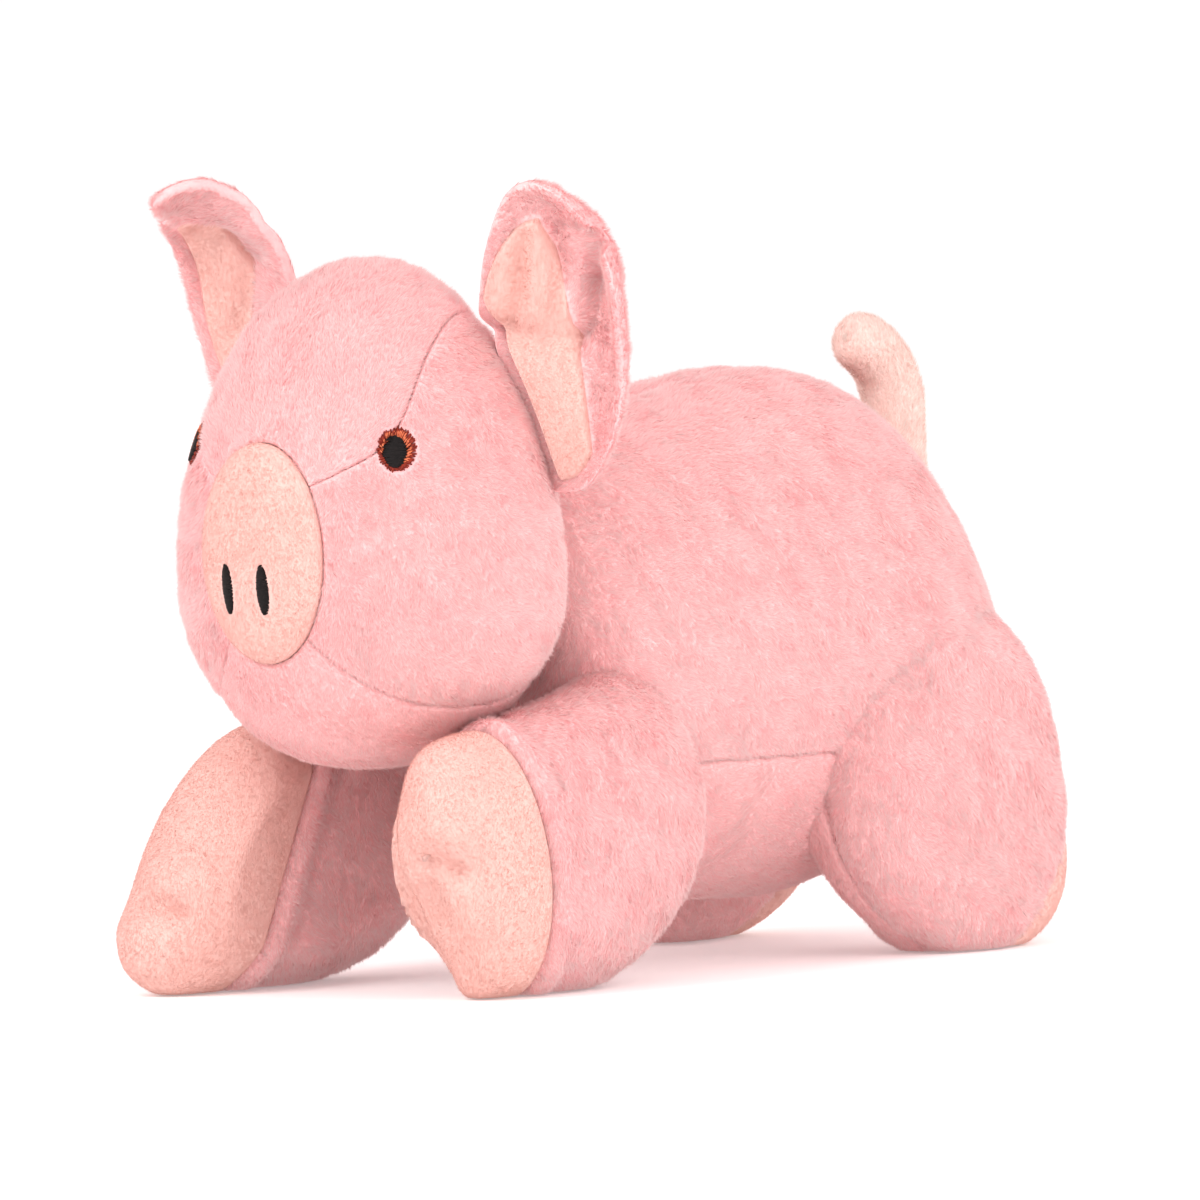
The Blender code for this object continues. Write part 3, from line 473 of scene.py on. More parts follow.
class Panel:
    """The outer face of one soft piece as a grid, with what its pile needs."""

    def __init__(self, name, form, runs, turns, ends=(False, False), wraps=False, mirrored=False):
        self.name, self.wraps, self.mirrored = name, wraps, mirrored
        self.flip = np.array((-1 if mirrored else 1, 1, 1))
        self.points = form(turns, runs)
        self.out = facing_of(self.points, wraps)
        self.reach = seam_reach(self.points, wraps, ends)
        self.keep = self.shown = self.cut = None

    def move(self, amount):
        """Moves the cloth by an amount along the way it faces."""
        self.points += self.out * np.asarray(amount)[..., None]

    def fill_out(self, rise, width, roll):
        """Fills the cloth out away from its seams, at which its edges roll in."""
        self.move(rise * (1 - np.exp(-self.reach / width)) - rolled(self.reach, roll))

    def near_line(self, width, line, low, high):
        """How near the cloth lies to a line of the view, from 0 to 1, where it faces the viewer."""
        places = seen_at(self.points * self.flip)
        shown = eased((self.out * self.flip) @ np.array(back), low, high)
        return shown * np.exp(-((line_distance(places, line) / width) ** 2))

    def press(self, depth, width, *line):
        """Presses a fold into the cloth along a line of the view, raised where depth is below 0."""
        self.move(-depth * self.near_line(width, line, 0.0, 0.25))

    def pull(self, amount, width, *line):
        """Draws the cloth to the right of the view along a line."""
        share = self.near_line(width, line, -0.7, -0.2)
        self.points += share[..., None] * amount * np.array(right) * self.flip

    def settle(self):
        """Tells again which way the cloth faces after moves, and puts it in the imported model's place."""
        self.out = facing_of(self.points, self.wraps) * self.flip
        self.points = self.points * self.flip + MIDDLE
        self.points[..., 2] = np.maximum(self.points[..., 2], CLOTH_CLEAR)


def grid_faces(rows, columns, wraps, flipped=False, start=0):
    """The faces of a grid of points, joined all the way round where it wraps."""
    index = np.arange(rows * columns).reshape(rows, columns) + start
    if wraps:
        index = np.concatenate([index, index[:, :1]], 1)
    quads = np.stack([index[:-1, :-1], index[1:, :-1], index[1:, 1:], index[:-1, 1:]], -1)
    return (quads[..., ::-1] if flipped else quads).reshape(-1, 4)


def placed(mesh, material):
    """The piece of a mesh, in its material and at the origin."""
    mesh.materials.append(material)
    piece = bpy.data.objects.new(mesh.name, mesh)
    bpy.context.scene.collection.objects.link(piece)
    return piece


def new_piece(name, points, faces, material):
    mesh = bpy.data.meshes.new(name)
    mesh.from_pydata(np.asarray(points).reshape(-1, 3).tolist(), [], [list(f) for f in faces])
    return placed(mesh, material)


@contextmanager
def mesh_of(piece):
    """A piece's mesh to work on, which is put back and shaded smooth in the end."""
    bm = bmesh.new()
    bm.from_mesh(piece.data)
    yield bm
    bm.to_mesh(piece.data)
    bm.free()
    piece.data.shade_smooth()


SAME_PLACE = 2e-6


def sewn_piece(panel, material, thickness=CLOTH, under=None):
    """The closed piece of a panel: its face, its back and the walls along its open edges."""
    rows, columns = panel.points.shape[:2]
    back = panel.points - panel.out * thickness if under is None else under
    count = rows * columns
    flip = panel.mirrored
    faces = [grid_faces(rows, columns, panel.wraps, flip)]
    faces.append(grid_faces(rows, columns, panel.wraps, not flip, count))
    index = np.arange(count).reshape(rows, columns)
    rims = [index[0][::-1], index[-1]]
    if panel.wraps:
        rims = [np.append(rim, rim[0]) for rim in rims]
    else:
        rims += [index[:, 0], index[:, -1][::-1]]
    for rim in rims:
        a, b = rim[:-1], rim[1:]
        wall = np.stack([a, b, b + count, a + count], -1)
        faces.append(wall[:, ::-1] if flip else wall)
    piece = new_piece(panel.name, np.concatenate([panel.points, back]), np.concatenate(faces), material)
    with mesh_of(piece) as bm:
        bmesh.ops.remove_doubles(bm, verts=bm.verts[:], dist=SAME_PLACE)
        bmesh.ops.dissolve_degenerate(bm, edges=bm.edges[:], dist=SAME_PLACE)
        if panel.keep is not None:
            # What lies inside a neighbour is cut away, so that the neighbour is set in there.
            gone = [f for f in bm.faces if not panel.keep(f.calc_center_median())]
            bmesh.ops.delete(bm, geom=gone, context="FACES")
            for _ in range(2):
                edges = [e for e in bm.edges if e.is_boundary]
                if edges:
                    bmesh.ops.holes_fill(bm, edges=edges, sides=4)
        if panel.cut is not None:
            # Cut off square along a seam and closed there.
            place, way, whole_ring = panel.cut
            everything = bm.verts[:] + bm.edges[:] + bm.faces[:]
            bmesh.ops.bisect_plane(
                bm, geom=everything, dist=1e-6, plane_co=place, plane_no=way, clear_outer=True
            )
            edges = [e for e in bm.edges if e.is_boundary]
            if whole_ring:
                bmesh.ops.bridge_loops(bm, edges=edges)
            else:
                bmesh.ops.holes_fill(bm, edges=edges, sides=0)
        if bm.calc_volume(signed=True) < 0:
            bmesh.ops.reverse_faces(bm, faces=bm.faces[:])
    return piece


# Materials
SHEEN = 0.1
LIGHT_THROUGH_FIBRES = 0.4


def set_inputs(node, values):
    for name, value in values.items():
        node.inputs[name].default_value = value


def new_material(name, roughness, sheen=0.0):
    made = bpy.data.materials.new(name)
    made.use_nodes = True
    shader = made.node_tree.nodes["Principled BSDF"]
    set_inputs(shader, {"Roughness": roughness, "Specular IOR Level": 0.2, "Sheen Weight": sheen})
    set_inputs(shader, {"Sheen Roughness": 0.5, "Sheen Tint": (1.0, 0.8, 0.8, 1)})
    return made, made.node_tree, shader


def noise_node(tree, source, scale, detail, roughness=0.6, stretch=(1, 1, 1)):
    place = tree.nodes.new("ShaderNodeMapping")
    place.inputs["Scale"].default_value = stretch
    tree.links.new(source, place.inputs["Vector"])
    noise = tree.nodes.new("ShaderNodeTexNoise")
    set_inputs(noise, {"Scale": scale, "Detail": detail, "Roughness": roughness})
    tree.links.new(place.outputs["Vector"], noise.inputs["Vector"])
    return noise.outputs["Fac"]


def colour_steps(tree, source, steps):
    ramp = tree.nodes.new("ShaderNodeValToRGB")
    for end, (place, colour) in zip(ramp.color_ramp.elements, (steps[0], steps[-1])):
        end.position, end.color = place, (*colour, 1)
    for place, colour in steps[1:-1]:
        ramp.color_ramp.elements.new(place).color = (*colour, 1)
    tree.links.new(source, ramp.inputs["Fac"])
    return ramp.outputs["Color"]


def mixed(tree, share, first, second, way="MIX"):
    mix = tree.nodes.new("ShaderNodeMix")
    mix.data_type = "RGBA"
    mix.blend_type = way
    for socket, value in ((mix.inputs["Factor"], share), (mix.inputs["A"], first), (mix.inputs["B"], second)):
        if hasattr(value, "is_output"):
            tree.links.new(value, socket)
        else:
            socket.default_value = value if isinstance(value, float) else (*value, 1)
    return mix.outputs["Result"]


def bumped(tree, shader, height, strength, distance):
    bump = tree.nodes.new("ShaderNodeBump")
    set_inputs(bump, {"Strength": strength, "Distance": distance})
    tree.links.new(height, bump.inputs["Height"])
    tree.links.new(bump.outputs["Normal"], shader.inputs["Normal"])


def cloth_material(name, deep, middle, pale, nap, roughness=0.9):
    """Cloth whose colour wanders between three tones, with a fine nap."""
    made, tree, shader = new_material(name, roughness, SHEEN)
    place = tree.nodes.new("ShaderNodeTexCoord").outputs["Object"]
    broad = noise_node(tree, place, 38, 3)
    fine = noise_node(tree, place, 420, 4, 0.7)
    grain = noise_node(tree, place, nap, 5, 0.75, (1, 1, 0.35))
    tone = colour_steps(tree, broad, ((0.30, deep), (0.5, middle), (0.72, pale)))
    flecks = colour_steps(tree, fine, ((0.35, deep), (0.65, pale)))
    tone = mixed(tree, 0.35, tone, flecks)
    tree.links.new(tone, shader.inputs["Base Color"])
    rough = tree.nodes.new("ShaderNodeMapRange")
    set_inputs(rough, {"To Min": roughness - 0.1, "To Max": 1.0})
    tree.links.new(fine, rough.inputs["Value"])
    tree.links.new(rough.outputs["Result"], shader.inputs["Roughness"])
    bumped(tree, shader, grain, 0.55, 0.0005)
    return made


def pile_material(name, root, middle, tip, blush):
    """Fibres with painted shade at the root and painted light at the tip, varying from tuft to tuft."""
    made, tree, shader = new_material(name, 0.85, SHEEN)
    place = tree.nodes.new("ShaderNodeUVMap")
    place.uv_map = "OFBake"
    parts = tree.nodes.new("ShaderNodeSeparateXYZ")
    tree.links.new(place.outputs["UV"], parts.inputs["Vector"])
    # Painted shade deepens the fibres towards the root, and painted light pales them towards the tip.
    along = colour_steps(tree, parts.outputs["Y"], ((0.0, root), (0.45, middle), (1.0, tip)))
    tuft = colour_steps(tree, parts.outputs["X"], ((0.0, blush), (0.55, (1, 1, 1)), (1.0, (1, 1, 1))))
    colour = mixed(tree, 1.0, along, tuft, "MULTIPLY")
    tree.links.new(colour, shader.inputs["Base Color"])
    # Fine fibres let some of the light through.
    through_light = tree.nodes.new("ShaderNodeBsdfTranslucent")
    tree.links.new(colour, through_light.inputs["Color"])
    mix = tree.nodes.new("ShaderNodeMixShader")
    mix.inputs["Fac"].default_value = LIGHT_THROUGH_FIBRES
    tree.links.new(shader.outputs["BSDF"], mix.inputs[1])
    tree.links.new(through_light.outputs["BSDF"], mix.inputs[2])
    tree.links.new(mix.outputs["Shader"], tree.nodes["Material Output"].inputs["Surface"])
    return made


def thread_material(name, dark, light, roughness=0.5):
    """Twisted thread with a soft gloss."""
    made, tree, shader = new_material(name, roughness)
    shader.inputs["Specular IOR Level"].default_value = 0.22
    place = tree.nodes.new("ShaderNodeTexCoord").outputs["Object"]
    twist = noise_node(tree, place, 900, 4, 0.7)
    tree.links.new(colour_steps(tree, twist, ((0.35, dark), (0.68, light))), shader.inputs["Base Color"])
    bumped(tree, shader, noise_node(tree, place, 3500, 3), 0.4, 0.0002)
    return made


# Cloth: its deep, middle and pale tone and how fine its nap is.
plush = cloth_material("pink_plush", (0.93, 0.50, 0.51), (0.96, 0.60, 0.60), (0.98, 0.68, 0.67), 1500)
smooth_plush = cloth_material(
    "smooth_pink_plush", (0.93, 0.49, 0.50), (0.96, 0.58, 0.58), (0.98, 0.65, 0.64), 2600
)
pale_plush = cloth_material("pale_plush", (0.96, 0.68, 0.62), (0.98, 0.78, 0.72), (0.99, 0.84, 0.78), 1900)
velour = cloth_material(
    "cream_velour", (0.87, 0.52, 0.46), (0.90, 0.58, 0.52), (0.92, 0.64, 0.57), 3200, 0.88
)
fill = cloth_material("fibre_fill", (0.82, 0.81, 0.79), (0.88, 0.87, 0.85), (0.92, 0.91, 0.90), 900)
# Thread: its dark and light tone.
rust_thread = thread_material("rust_thread", (0.10, 0.008, 0.006), (0.36, 0.04, 0.018))
orange_thread = thread_material("orange_thread", (0.42, 0.07, 0.03), (0.85, 0.26, 0.12))
black_thread = thread_material("black_thread", (0.002, 0.0015, 0.0015), (0.010, 0.007, 0.007), 0.6)
# Pile: its root (painted shade), middle and tip (painted light), and the blush of its deepest tufts.
pink_pile = pile_material(
    "pink_pile", (0.98, 0.56, 0.565), (0.995, 0.775, 0.765), (1.0, 0.875, 0.865), (1.0, 0.87, 0.885)
)
smooth_pile = pile_material(
    "smooth_pink_pile", (0.97, 0.56, 0.56), (0.99, 0.74, 0.73), (1.0, 0.84, 0.825), (1.0, 0.89, 0.90)
)
pale_pile = pile_material(
    "pale_pile", (0.98, 0.76, 0.70), (1.0, 0.90, 0.84), (1.0, 0.96, 0.90), (1.0, 0.94, 0.94)
)
velour_nap = pile_material(
    "velour_nap", (0.89, 0.56, 0.50), (0.92, 0.615, 0.55), (0.94, 0.66, 0.59), (0.97, 0.93, 0.92)
)


# Pile

HEAD_CENTRE = np.array((0, -0.10, 0.15)) + MIDDLE
# A stitched patch: its middle, the ways it faces, runs back and runs up, and its half sizes.
Patch = namedtuple("Patch", "centre facing over rise half")


def patch_of(node):
    """The patch of a flat stitched node of the head."""
    points = np.array([v.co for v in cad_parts[node].data.vertices])
    centre = (points.max(0) + points.min(0)) / 2
    facing = np.linalg.svd(points - points.mean(0), full_matrices=False)[2][2]
    facing = facing * np.sign(facing @ (centre - HEAD_CENTRE))
    over = unit(np.cross((0, 0, 1.0), facing)) * (1 if node.endswith("left") else -1)
    rise = unit(np.array((0, 0, 1.0)) - facing * facing[2])
    half = np.abs((points - centre) @ np.stack([over, rise], -1)).max(0)
    return Patch(centre, facing, over, rise, half)


# Stitched patches are left bare, with a narrow border, and as deep as the cloth is hollow there.
BARE_PATCHES = [patch_of(f"{part}_{side}") for part in ("iris", "nostril") for side in SIDES]
BARE_BORDER = 0.0006
BARE_DEPTH = 0.012

DENSITY = 1.0
# The cloths: material, slot and the pile's material, length, fibres to a square millimetre,
# width, how steeply it rises and how far it leans together into tufts.
CLOTHS = {
    "plush": (plush, "pink_plush", pink_pile, 0.0030, 5.4, 0.00022, (0.20, 0.62), 0.42),
    "smooth": (smooth_plush, "smooth_pink_plush", smooth_pile, 0.0021, 5.4, 0.00020, (0.20, 0.60), 0.35),
    "pale": (pale_plush, "pale_plush", pale_pile, 0.0022, 6.0, 0.00021, (0.25, 0.75), 0.3),
    "velour": (velour, "cream_velour", velour_nap, 0.0010, 5.0, 0.00018, (0.35, 0.9), 0.15),
}
# How many fibres stand up, how steeply, and how near a seam the pile gets shorter.
UPRIGHT_SHARE, UPRIGHT_RISE = 0.05, 1.15
SHORT_AT_SEAM = (0.0008, 0.006)


def comb(panel, kind, combing, seed):
    """Sets fibres over a panel's face, combed one way, gathered in tufts and short at its seams."""
    material, length, per_mm2, width, lift, clump = CLOTHS[kind][2:]
    rng = np.random.default_rng(seed)
    points, facings, reach = panel.points, panel.out, panel.reach
    if panel.wraps:
        points, facings, reach = (np.concatenate([g, g[:, :1]], 1) for g in (points, facings, reach))
    a, b, c, d = points[:-1, :-1], points[1:, :-1], points[1:, 1:], points[:-1, 1:]
    area = length_of(np.cross(c - a, d - b)) / 2
    centres = (a + b + c + d) / 4
    if panel.shown is not None:
        area = area * (panel.shown[:-1, :-1] & panel.shown[1:, 1:])
    if panel.keep is not None:
        kept = [panel.keep(Vector(p)) for p in centres.reshape(-1, 3)]
        area = area * np.array(kept).reshape(area.shape)
    if panel.cut is not None:
        place, way, _ = panel.cut
        area = area * ((centres - place) @ way < 0)
    count = int(area.sum() * 1e6 * (per_mm2 * DENSITY))
    chosen = np.searchsorted(np.cumsum(area.ravel()) / area.sum(), rng.random(count))
    i, j = np.unravel_index(np.minimum(chosen, area.size - 1), area.shape)
    u, v = rng.random((2, count, 1))

    def inside(grid):
        """The grid's value at each fibre's root."""
        grid = grid.reshape(*grid.shape[:2], -1)
        low = grid[i, j] * (1 - u) + grid[i + 1, j] * u
        high = grid[i, j + 1] * (1 - u) + grid[i + 1, j + 1] * u
        return low * (1 - v) + high * v

    places, free = inside(points), np.ones(count, bool)
    for patch in BARE_PATCHES:
        away = places - patch.centre
        across, up = away @ patch.over, away @ patch.rise
        oval = (across / (patch.half[0] + BARE_BORDER)) ** 2 + (up / (patch.half[1] + BARE_BORDER)) ** 2
        free &= (oval > 1) | (np.abs(away @ patch.facing) > BARE_DEPTH)
    i, j, u, v = i[free], j[free], u[free], v[free]
    count = len(i)
    root, out, near = inside(points), unit(inside(facings)), inside(reach)[:, 0]
    # The way it is combed wanders in broad and small swirls, and a little from fibre to fibre.
    way = np.array(combing, float)
    way = unit(way - out * (way * out).sum(-1, keepdims=True))
    side = np.cross(out, way)
    swirl = value_noise(root, 0.021, seed + 1) * 0.55 + value_noise(root, 0.006, seed + 2) * 0.35
    turn = swirl + rng.normal(0, 0.22, count)
    way = way * np.cos(turn)[:, None] + side * np.sin(turn)[:, None]
    rise = rng.uniform(*lift, count) + value_noise(root, 0.009, seed + 3) * 0.22
    at_seam = 1 - eased(near, *SHORT_AT_SEAM)
    # A few fibres stand up.
    rise = np.where(rng.random(count) < UPRIGHT_SHARE, UPRIGHT_RISE, rise)
    rise = np.clip(rise, 0.1, 1.35)
    long = length * rng.uniform(0.7, 1.15, count) * (1 - 0.15 * at_seam)
    tip = root + (way * np.cos(rise)[:, None] + out * np.sin(rise)[:, None]) * long[:, None]
    # Neighbouring fibres, told by the cell they stand in, lean together into tufts.
    cell = length * 0.55
    key = np.floor((root + value_noise(root, 0.013, seed + 4)[:, None] * cell) / cell).astype(np.int64)
    key = (key[:, 0] * 73856093) ^ (key[:, 1] * 19349663) ^ (key[:, 2] * 83492791)
    _, tuft = np.unique(key, return_inverse=True)
    number = np.bincount(tuft).astype(float)
    lean = np.stack([np.bincount(tuft, tip[:, k]) / number for k in range(3)], -1)[tuft]
    tip = tip + (lean - tip) * clump * rng.uniform(0.4, 1.0, (count, 1))
    # The tips sink neither into the cloth nor into the ground.
    above = ((tip - root) * out).sum(-1)
    tip = tip + out * np.maximum(length * 0.14 - above, 0)[:, None]
    tip[:, 2] = np.maximum(tip[:, 2], PILE_CLEAR)
    flat = unit(np.cross(out, tip - root))
    spin = rng.normal(0, 0.5, count)[:, None]
    flat = unit(flat * np.cos(spin) + out * np.sin(spin))
    half = width / 2 * rng.uniform(0.75, 1.25, (count, 1))
    # The tint, which the material reads, wanders over the cloth and from tuft to tuft, and deepens at the
    # seams.
    tint = 0.62 + 0.26 * value_noise(root, 0.017, 11) + 0.2 * value_noise(root, 0.005, 12)
    tint = np.clip(tint, 0.05, 0.95) + (rng.random(number.size) - 0.5)[tuft] * 0.3
    # The lower tint near the seams is painted shade in the seams' sunk grooves.
    tint = np.clip(tint - at_seam * 0.12, 0.03, 0.97)
    # Each fibre is one triangle: two corners at its root, then its tip.
    corners = np.stack([root - flat * half, root + flat * half, tip], 1)
    heights, flanks = np.array((0.0, 0.0, 1.0)), np.array((-1, 1, 0))
    order = (np.arange(count)[:, None] * 3 + (0, 2, 1)).ravel()
    mesh = bpy.data.meshes.new(f"{panel.name}_pile")
    mesh.vertices.add(count * 3)
    mesh.vertices.foreach_set("co", corners.astype(np.float32).ravel())
    mesh.loops.add(count * 3)
    mesh.loops.foreach_set("vertex_index", order.astype(np.int32))
    mesh.polygons.add(count)
    mesh.polygons.foreach_set("loop_start", np.arange(0, count * 3, 3, dtype=np.int32))
    mesh.update(calc_edges=True)
    along = np.broadcast_to(heights * 0.94 + 0.03, (count, 3))
    uv = np.stack([tint[:, None] + flanks * 0.012, along], -1).reshape(-1, 2)
    mesh.uv_layers.new(name="OFBake").data.foreach_set("uv", uv[order].astype(np.float32).ravel())
    mesh.polygons.foreach_set("use_smooth", np.ones(count, bool))
    # It is lit as the cloth under it, with a little of its own lean and roundness.
    lengthwise = (heights[None, :, None] - 0.3) * unit(tip - root)[:, None, :] * 0.35
    soft = unit(out[:, None, :] + lengthwise + flanks[None, :, None] * flat[:, None, :] * 0.25)
    mesh.normals_split_custom_set_from_vertices(soft.reshape(-1, 3).tolist())
    return placed(mesh, material)


def set_on(piece, held, node=None):
    """Rides a piece on a named body, or bakes its place into its mesh, and hides the node it stands for."""
    if isinstance(held, str):
        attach(piece, held)
    else:
        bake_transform(piece)
    if node:
        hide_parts(node)


def sew(panel, kind, node, held, fill_share, combing, seed, **sewn):
    """Makes a panel's cloth, sets it on for its node and gives it its pile."""
    material, slot = CLOTHS[kind][:2]
    piece = sewn_piece(panel, material, **sewn)
    set_on(piece, held, node)
    set_on(comb(panel, kind, combing, seed), held)
    return piece


# Body
hip_tree = form_tree(hindleg_point)
body_tree = form_tree(body_form)
foreleg_trees = {side: form_tree(form) for side, form in foreleg_forms.items()}
# How deep in a leg the body's cloth ends, and half the width of the seams, in turns.
LEG_SINK = 0.0045
BODY_SEAM = 0.0004
HEAD_SEAM = 0.0006


def outside_legs(point):
    """Whether a point of the body lies clear of the legs that are set into it."""
    p = np.array(point) - MIDDLE
    foreleg_tree = foreleg_trees["left" if p[0] > 0 else "right"]
    p[0] = abs(p[0])
    return all(depth_outside(tree, p) >= -LEG_SINK for tree in (hip_tree, foreleg_tree))


def hip_crease(points):
    """How far the hip's cloth flows into the body: little in front, where it creases."""
    y, z = points[..., 1] - HIP[1], points[..., 2] - HIP[2]
    angle = np.degrees(np.arctan2(z, y)) % 360
    front = eased(angle, 100, 128) * (1 - eased(angle, 235, 260))
    away = eased(np.hypot(y, z), 0.008, 0.048)
    return (0.060 * (1 - front) + 0.007 * front) * away + 0.001


def shoulder_flow(points):
    """How far the sleeve's cloth flows into the body: only over the top of the shoulder."""
    return 0.026 * eased(points[..., 2], 0.058, 0.086) + 0.0004


body_runs = close_set(78, gather=0.35)[:, None]
belly_seam = seam_turn(BELLY_TURNS, body_runs)


def body_panel(name, first, last, mirrored=False):
    """A panel of the body between two seams, full between them."""
    turns = between(first + BODY_SEAM, last - BODY_SEAM, close_set(62)[None, :])
    panel = Panel(name, body_form, body_runs, turns, mirrored=mirrored)
    panel.fill_out(0.0016, 0.010, 0.0016)
    panel.keep = outside_legs
    return panel


for side, sign in SIDES.items():
    panel = body_panel(f"body_side_{side}_cloth", belly_seam, 0.25, sign < 0)
    # The hip's and the shoulder's cloth flow into it.
    panel.points += flow_into(hip_tree, panel.points, panel.out, hip_crease(panel.points))
    panel.points += flow_into(foreleg_trees[side], panel.points, panel.out, shoulder_flow(panel.points))
    panel.settle()
    sew(panel, "plush", f"body_side_{side}", "torso", 0.7, (0, 0.75, -0.65), 105 - 5 * sign)
panel = body_panel("belly_cloth", 0.5 - belly_seam, belly_seam + 1)
# Both hips' cloth flows in, the right one's as the left one's.
sides = panel.points.copy()
sides[..., 0] = np.abs(sides[..., 0])
panel.points += flow_into(hip_tree, sides, panel.out, hip_crease(sides))
panel.settle()
sew(panel, "smooth", "belly_panel", "torso", 0.7, (0, 0.95, -0.3), 120)

# Head
PIECE_GAP = 0.0012
NECK_OPENING = 0.030
# Hollows round the left eye, most above and before it: place, width and depth.
EYE_HOLLOWS = (((0.0615, -0.1085, 0.180), 0.0095, 0.0022), ((0.061, -0.108, 0.188), 0.0075, 0.0016))


def neck_clear(point):
    """Whether a point of the head lies clear of the neck's opening."""
    return np.linalg.norm(np.array(point) - MIDDLE - NECK_PIVOT) > NECK_OPENING


head_runs = run_set(PAD_EDGE + PIECE_GAP, 1, 60, 0.6)
gusset, chin = (seam_turn(turns, head_runs, PAD_EDGE) for turns in (GUSSET_TURNS, CHIN_TURNS))


def head_piece(name, kind, node, first, last, columns, combing, seed, mirrored=False):
    """A panel of the head between two seams, full between them and drawn in round the eye."""
    turns = between(first + HEAD_SEAM, last - HEAD_SEAM, close_set(columns)[None, :])
    panel = Panel(name, head_form, head_runs, turns, ends=(True, False), mirrored=mirrored)
    panel.fill_out(0.0014, 0.009, 0.0014)
    for place, width, depth in EYE_HOLLOWS:
        panel.move(-depth * np.exp(-((length_of(panel.points - place) / width) ** 2)))
    panel.settle()
    panel.keep = neck_clear
    return sew(panel, kind, node, "head", 0.75, combing, seed)


forehead = head_piece(
    "forehead_cloth", "plush", "forehead_panel", gusset, 0.5 - gusset, 46, (0, 0.85, 0.5), 200
)
cheeks = {}
for side, sign in SIDES.items():
    node, combing, seed = f"cheek_{side}", (0, 0.7, -0.72), 215 - 5 * sign
    cheeks[side] = head_piece(f"{node}_cloth", "plush", node, chin, gusset, 54, combing, seed, sign < 0)
head_piece("chin_cloth", "smooth", "chin_panel", 0.5 - chin, 1 + chin, 46, (0, 0.8, -0.6), 230)

runs = run_set(0.0, PAD_EDGE - PIECE_GAP, 34, 0.55)
panel = Panel("snout_pad_cloth", head_form, runs, round_set(84), ends=(False, True), wraps=True)
panel.fill_out(0.0012, 0.006, 0.0018)
panel.settle()
pad = sew(panel, "velour", "snout_pad", "head", 0.8, (0, 0.2, -1), 240)

# Eyes and nostrils: satin stitches on the cheeks and the pad
# A thread's fullness from end to end, corners around, and how high it arches from ends sunk how deep.
THREAD_FULLNESS = np.array((0.35, 0.85, 1, 1, 1, 0.85, 0.35))[:, None, None]
THREAD_AROUND = 6
THREAD_ARCH, THREAD_SINK = 0.0012, 0.0006
STITCH_SPACING = 0.00042


def surface_tree(*pieces):
    """A search tree of finished pieces."""
    points, faces = [], []
    for piece in pieces:
        faces += [[k + len(points) for k in f.vertices] for f in piece.data.polygons]
        points += [v.co.copy() for v in piece.data.vertices]
    return BVHTree.FromPolygons(points, faces)


def stitched(name, tree, patch, stitches, half, material, raised=0.0):
    """Threads laid on the cloth, each from a start to an end given back and up its patch."""
    centre, facing, over, rise, _ = patch
    steps, around = len(THREAD_FULLNESS), THREAD_AROUND
    turn = np.arange(around) * math.tau / around
    share = np.linspace(0, 1, steps)
    arches = [THREAD_ARCH * math.sqrt(math.sin(math.pi * min(f, 0.9999))) - THREAD_SINK for f in share]
    points, faces = [], []
    for start, end in stitches:
        flat = centre + (start + (end - start) * share[:, None]) @ np.stack([over, rise])
        line = []
        for p, arch in zip(flat, arches):
            hit = tree.ray_cast(Vector(p + facing * 0.02), Vector(-facing))[0]
            line.append(np.array(hit or p) + facing * arch)
        line = np.array(line) + facing * raised
        way = unit(np.gradient(line, axis=0))
        flank = unit(np.cross(way, facing))
        lift = np.cross(flank, way)
        ring = flank[:, None] * np.cos(turn)[None, :, None] + lift[:, None] * np.sin(turn)[None, :, None]
        first = len(points) * steps * around
        faces += [list(f) for f in grid_faces(steps, around, True, start=first)]
        faces += [[end + k for k in range(around)] for end in (first, first + (steps - 1) * around)]
        points.append(line[:, None] + half * THREAD_FULLNESS * ring)
    piece = new_piece(name, np.concatenate(points), faces, material)
    with mesh_of(piece) as bm:
        bmesh.ops.recalc_face_normals(bm, faces=bm.faces[:])
    return piece


def satin_rows(half, rng):
    """Stitches side by side across an oval, from its bottom to its top."""
    rows = []
    for height in np.arange(-half[1] + STITCH_SPACING / 2, half[1], STITCH_SPACING):
        wide = half[0] * math.sqrt(max(1 - (height / half[1]) ** 2, 0.03)) * rng.uniform(0.92, 1.1)
        slant = rng.uniform(-0.6, 0.6) * STITCH_SPACING
        rows.append((np.array((-wide, height - slant)), np.array((wide, height + slant))))
    return rows


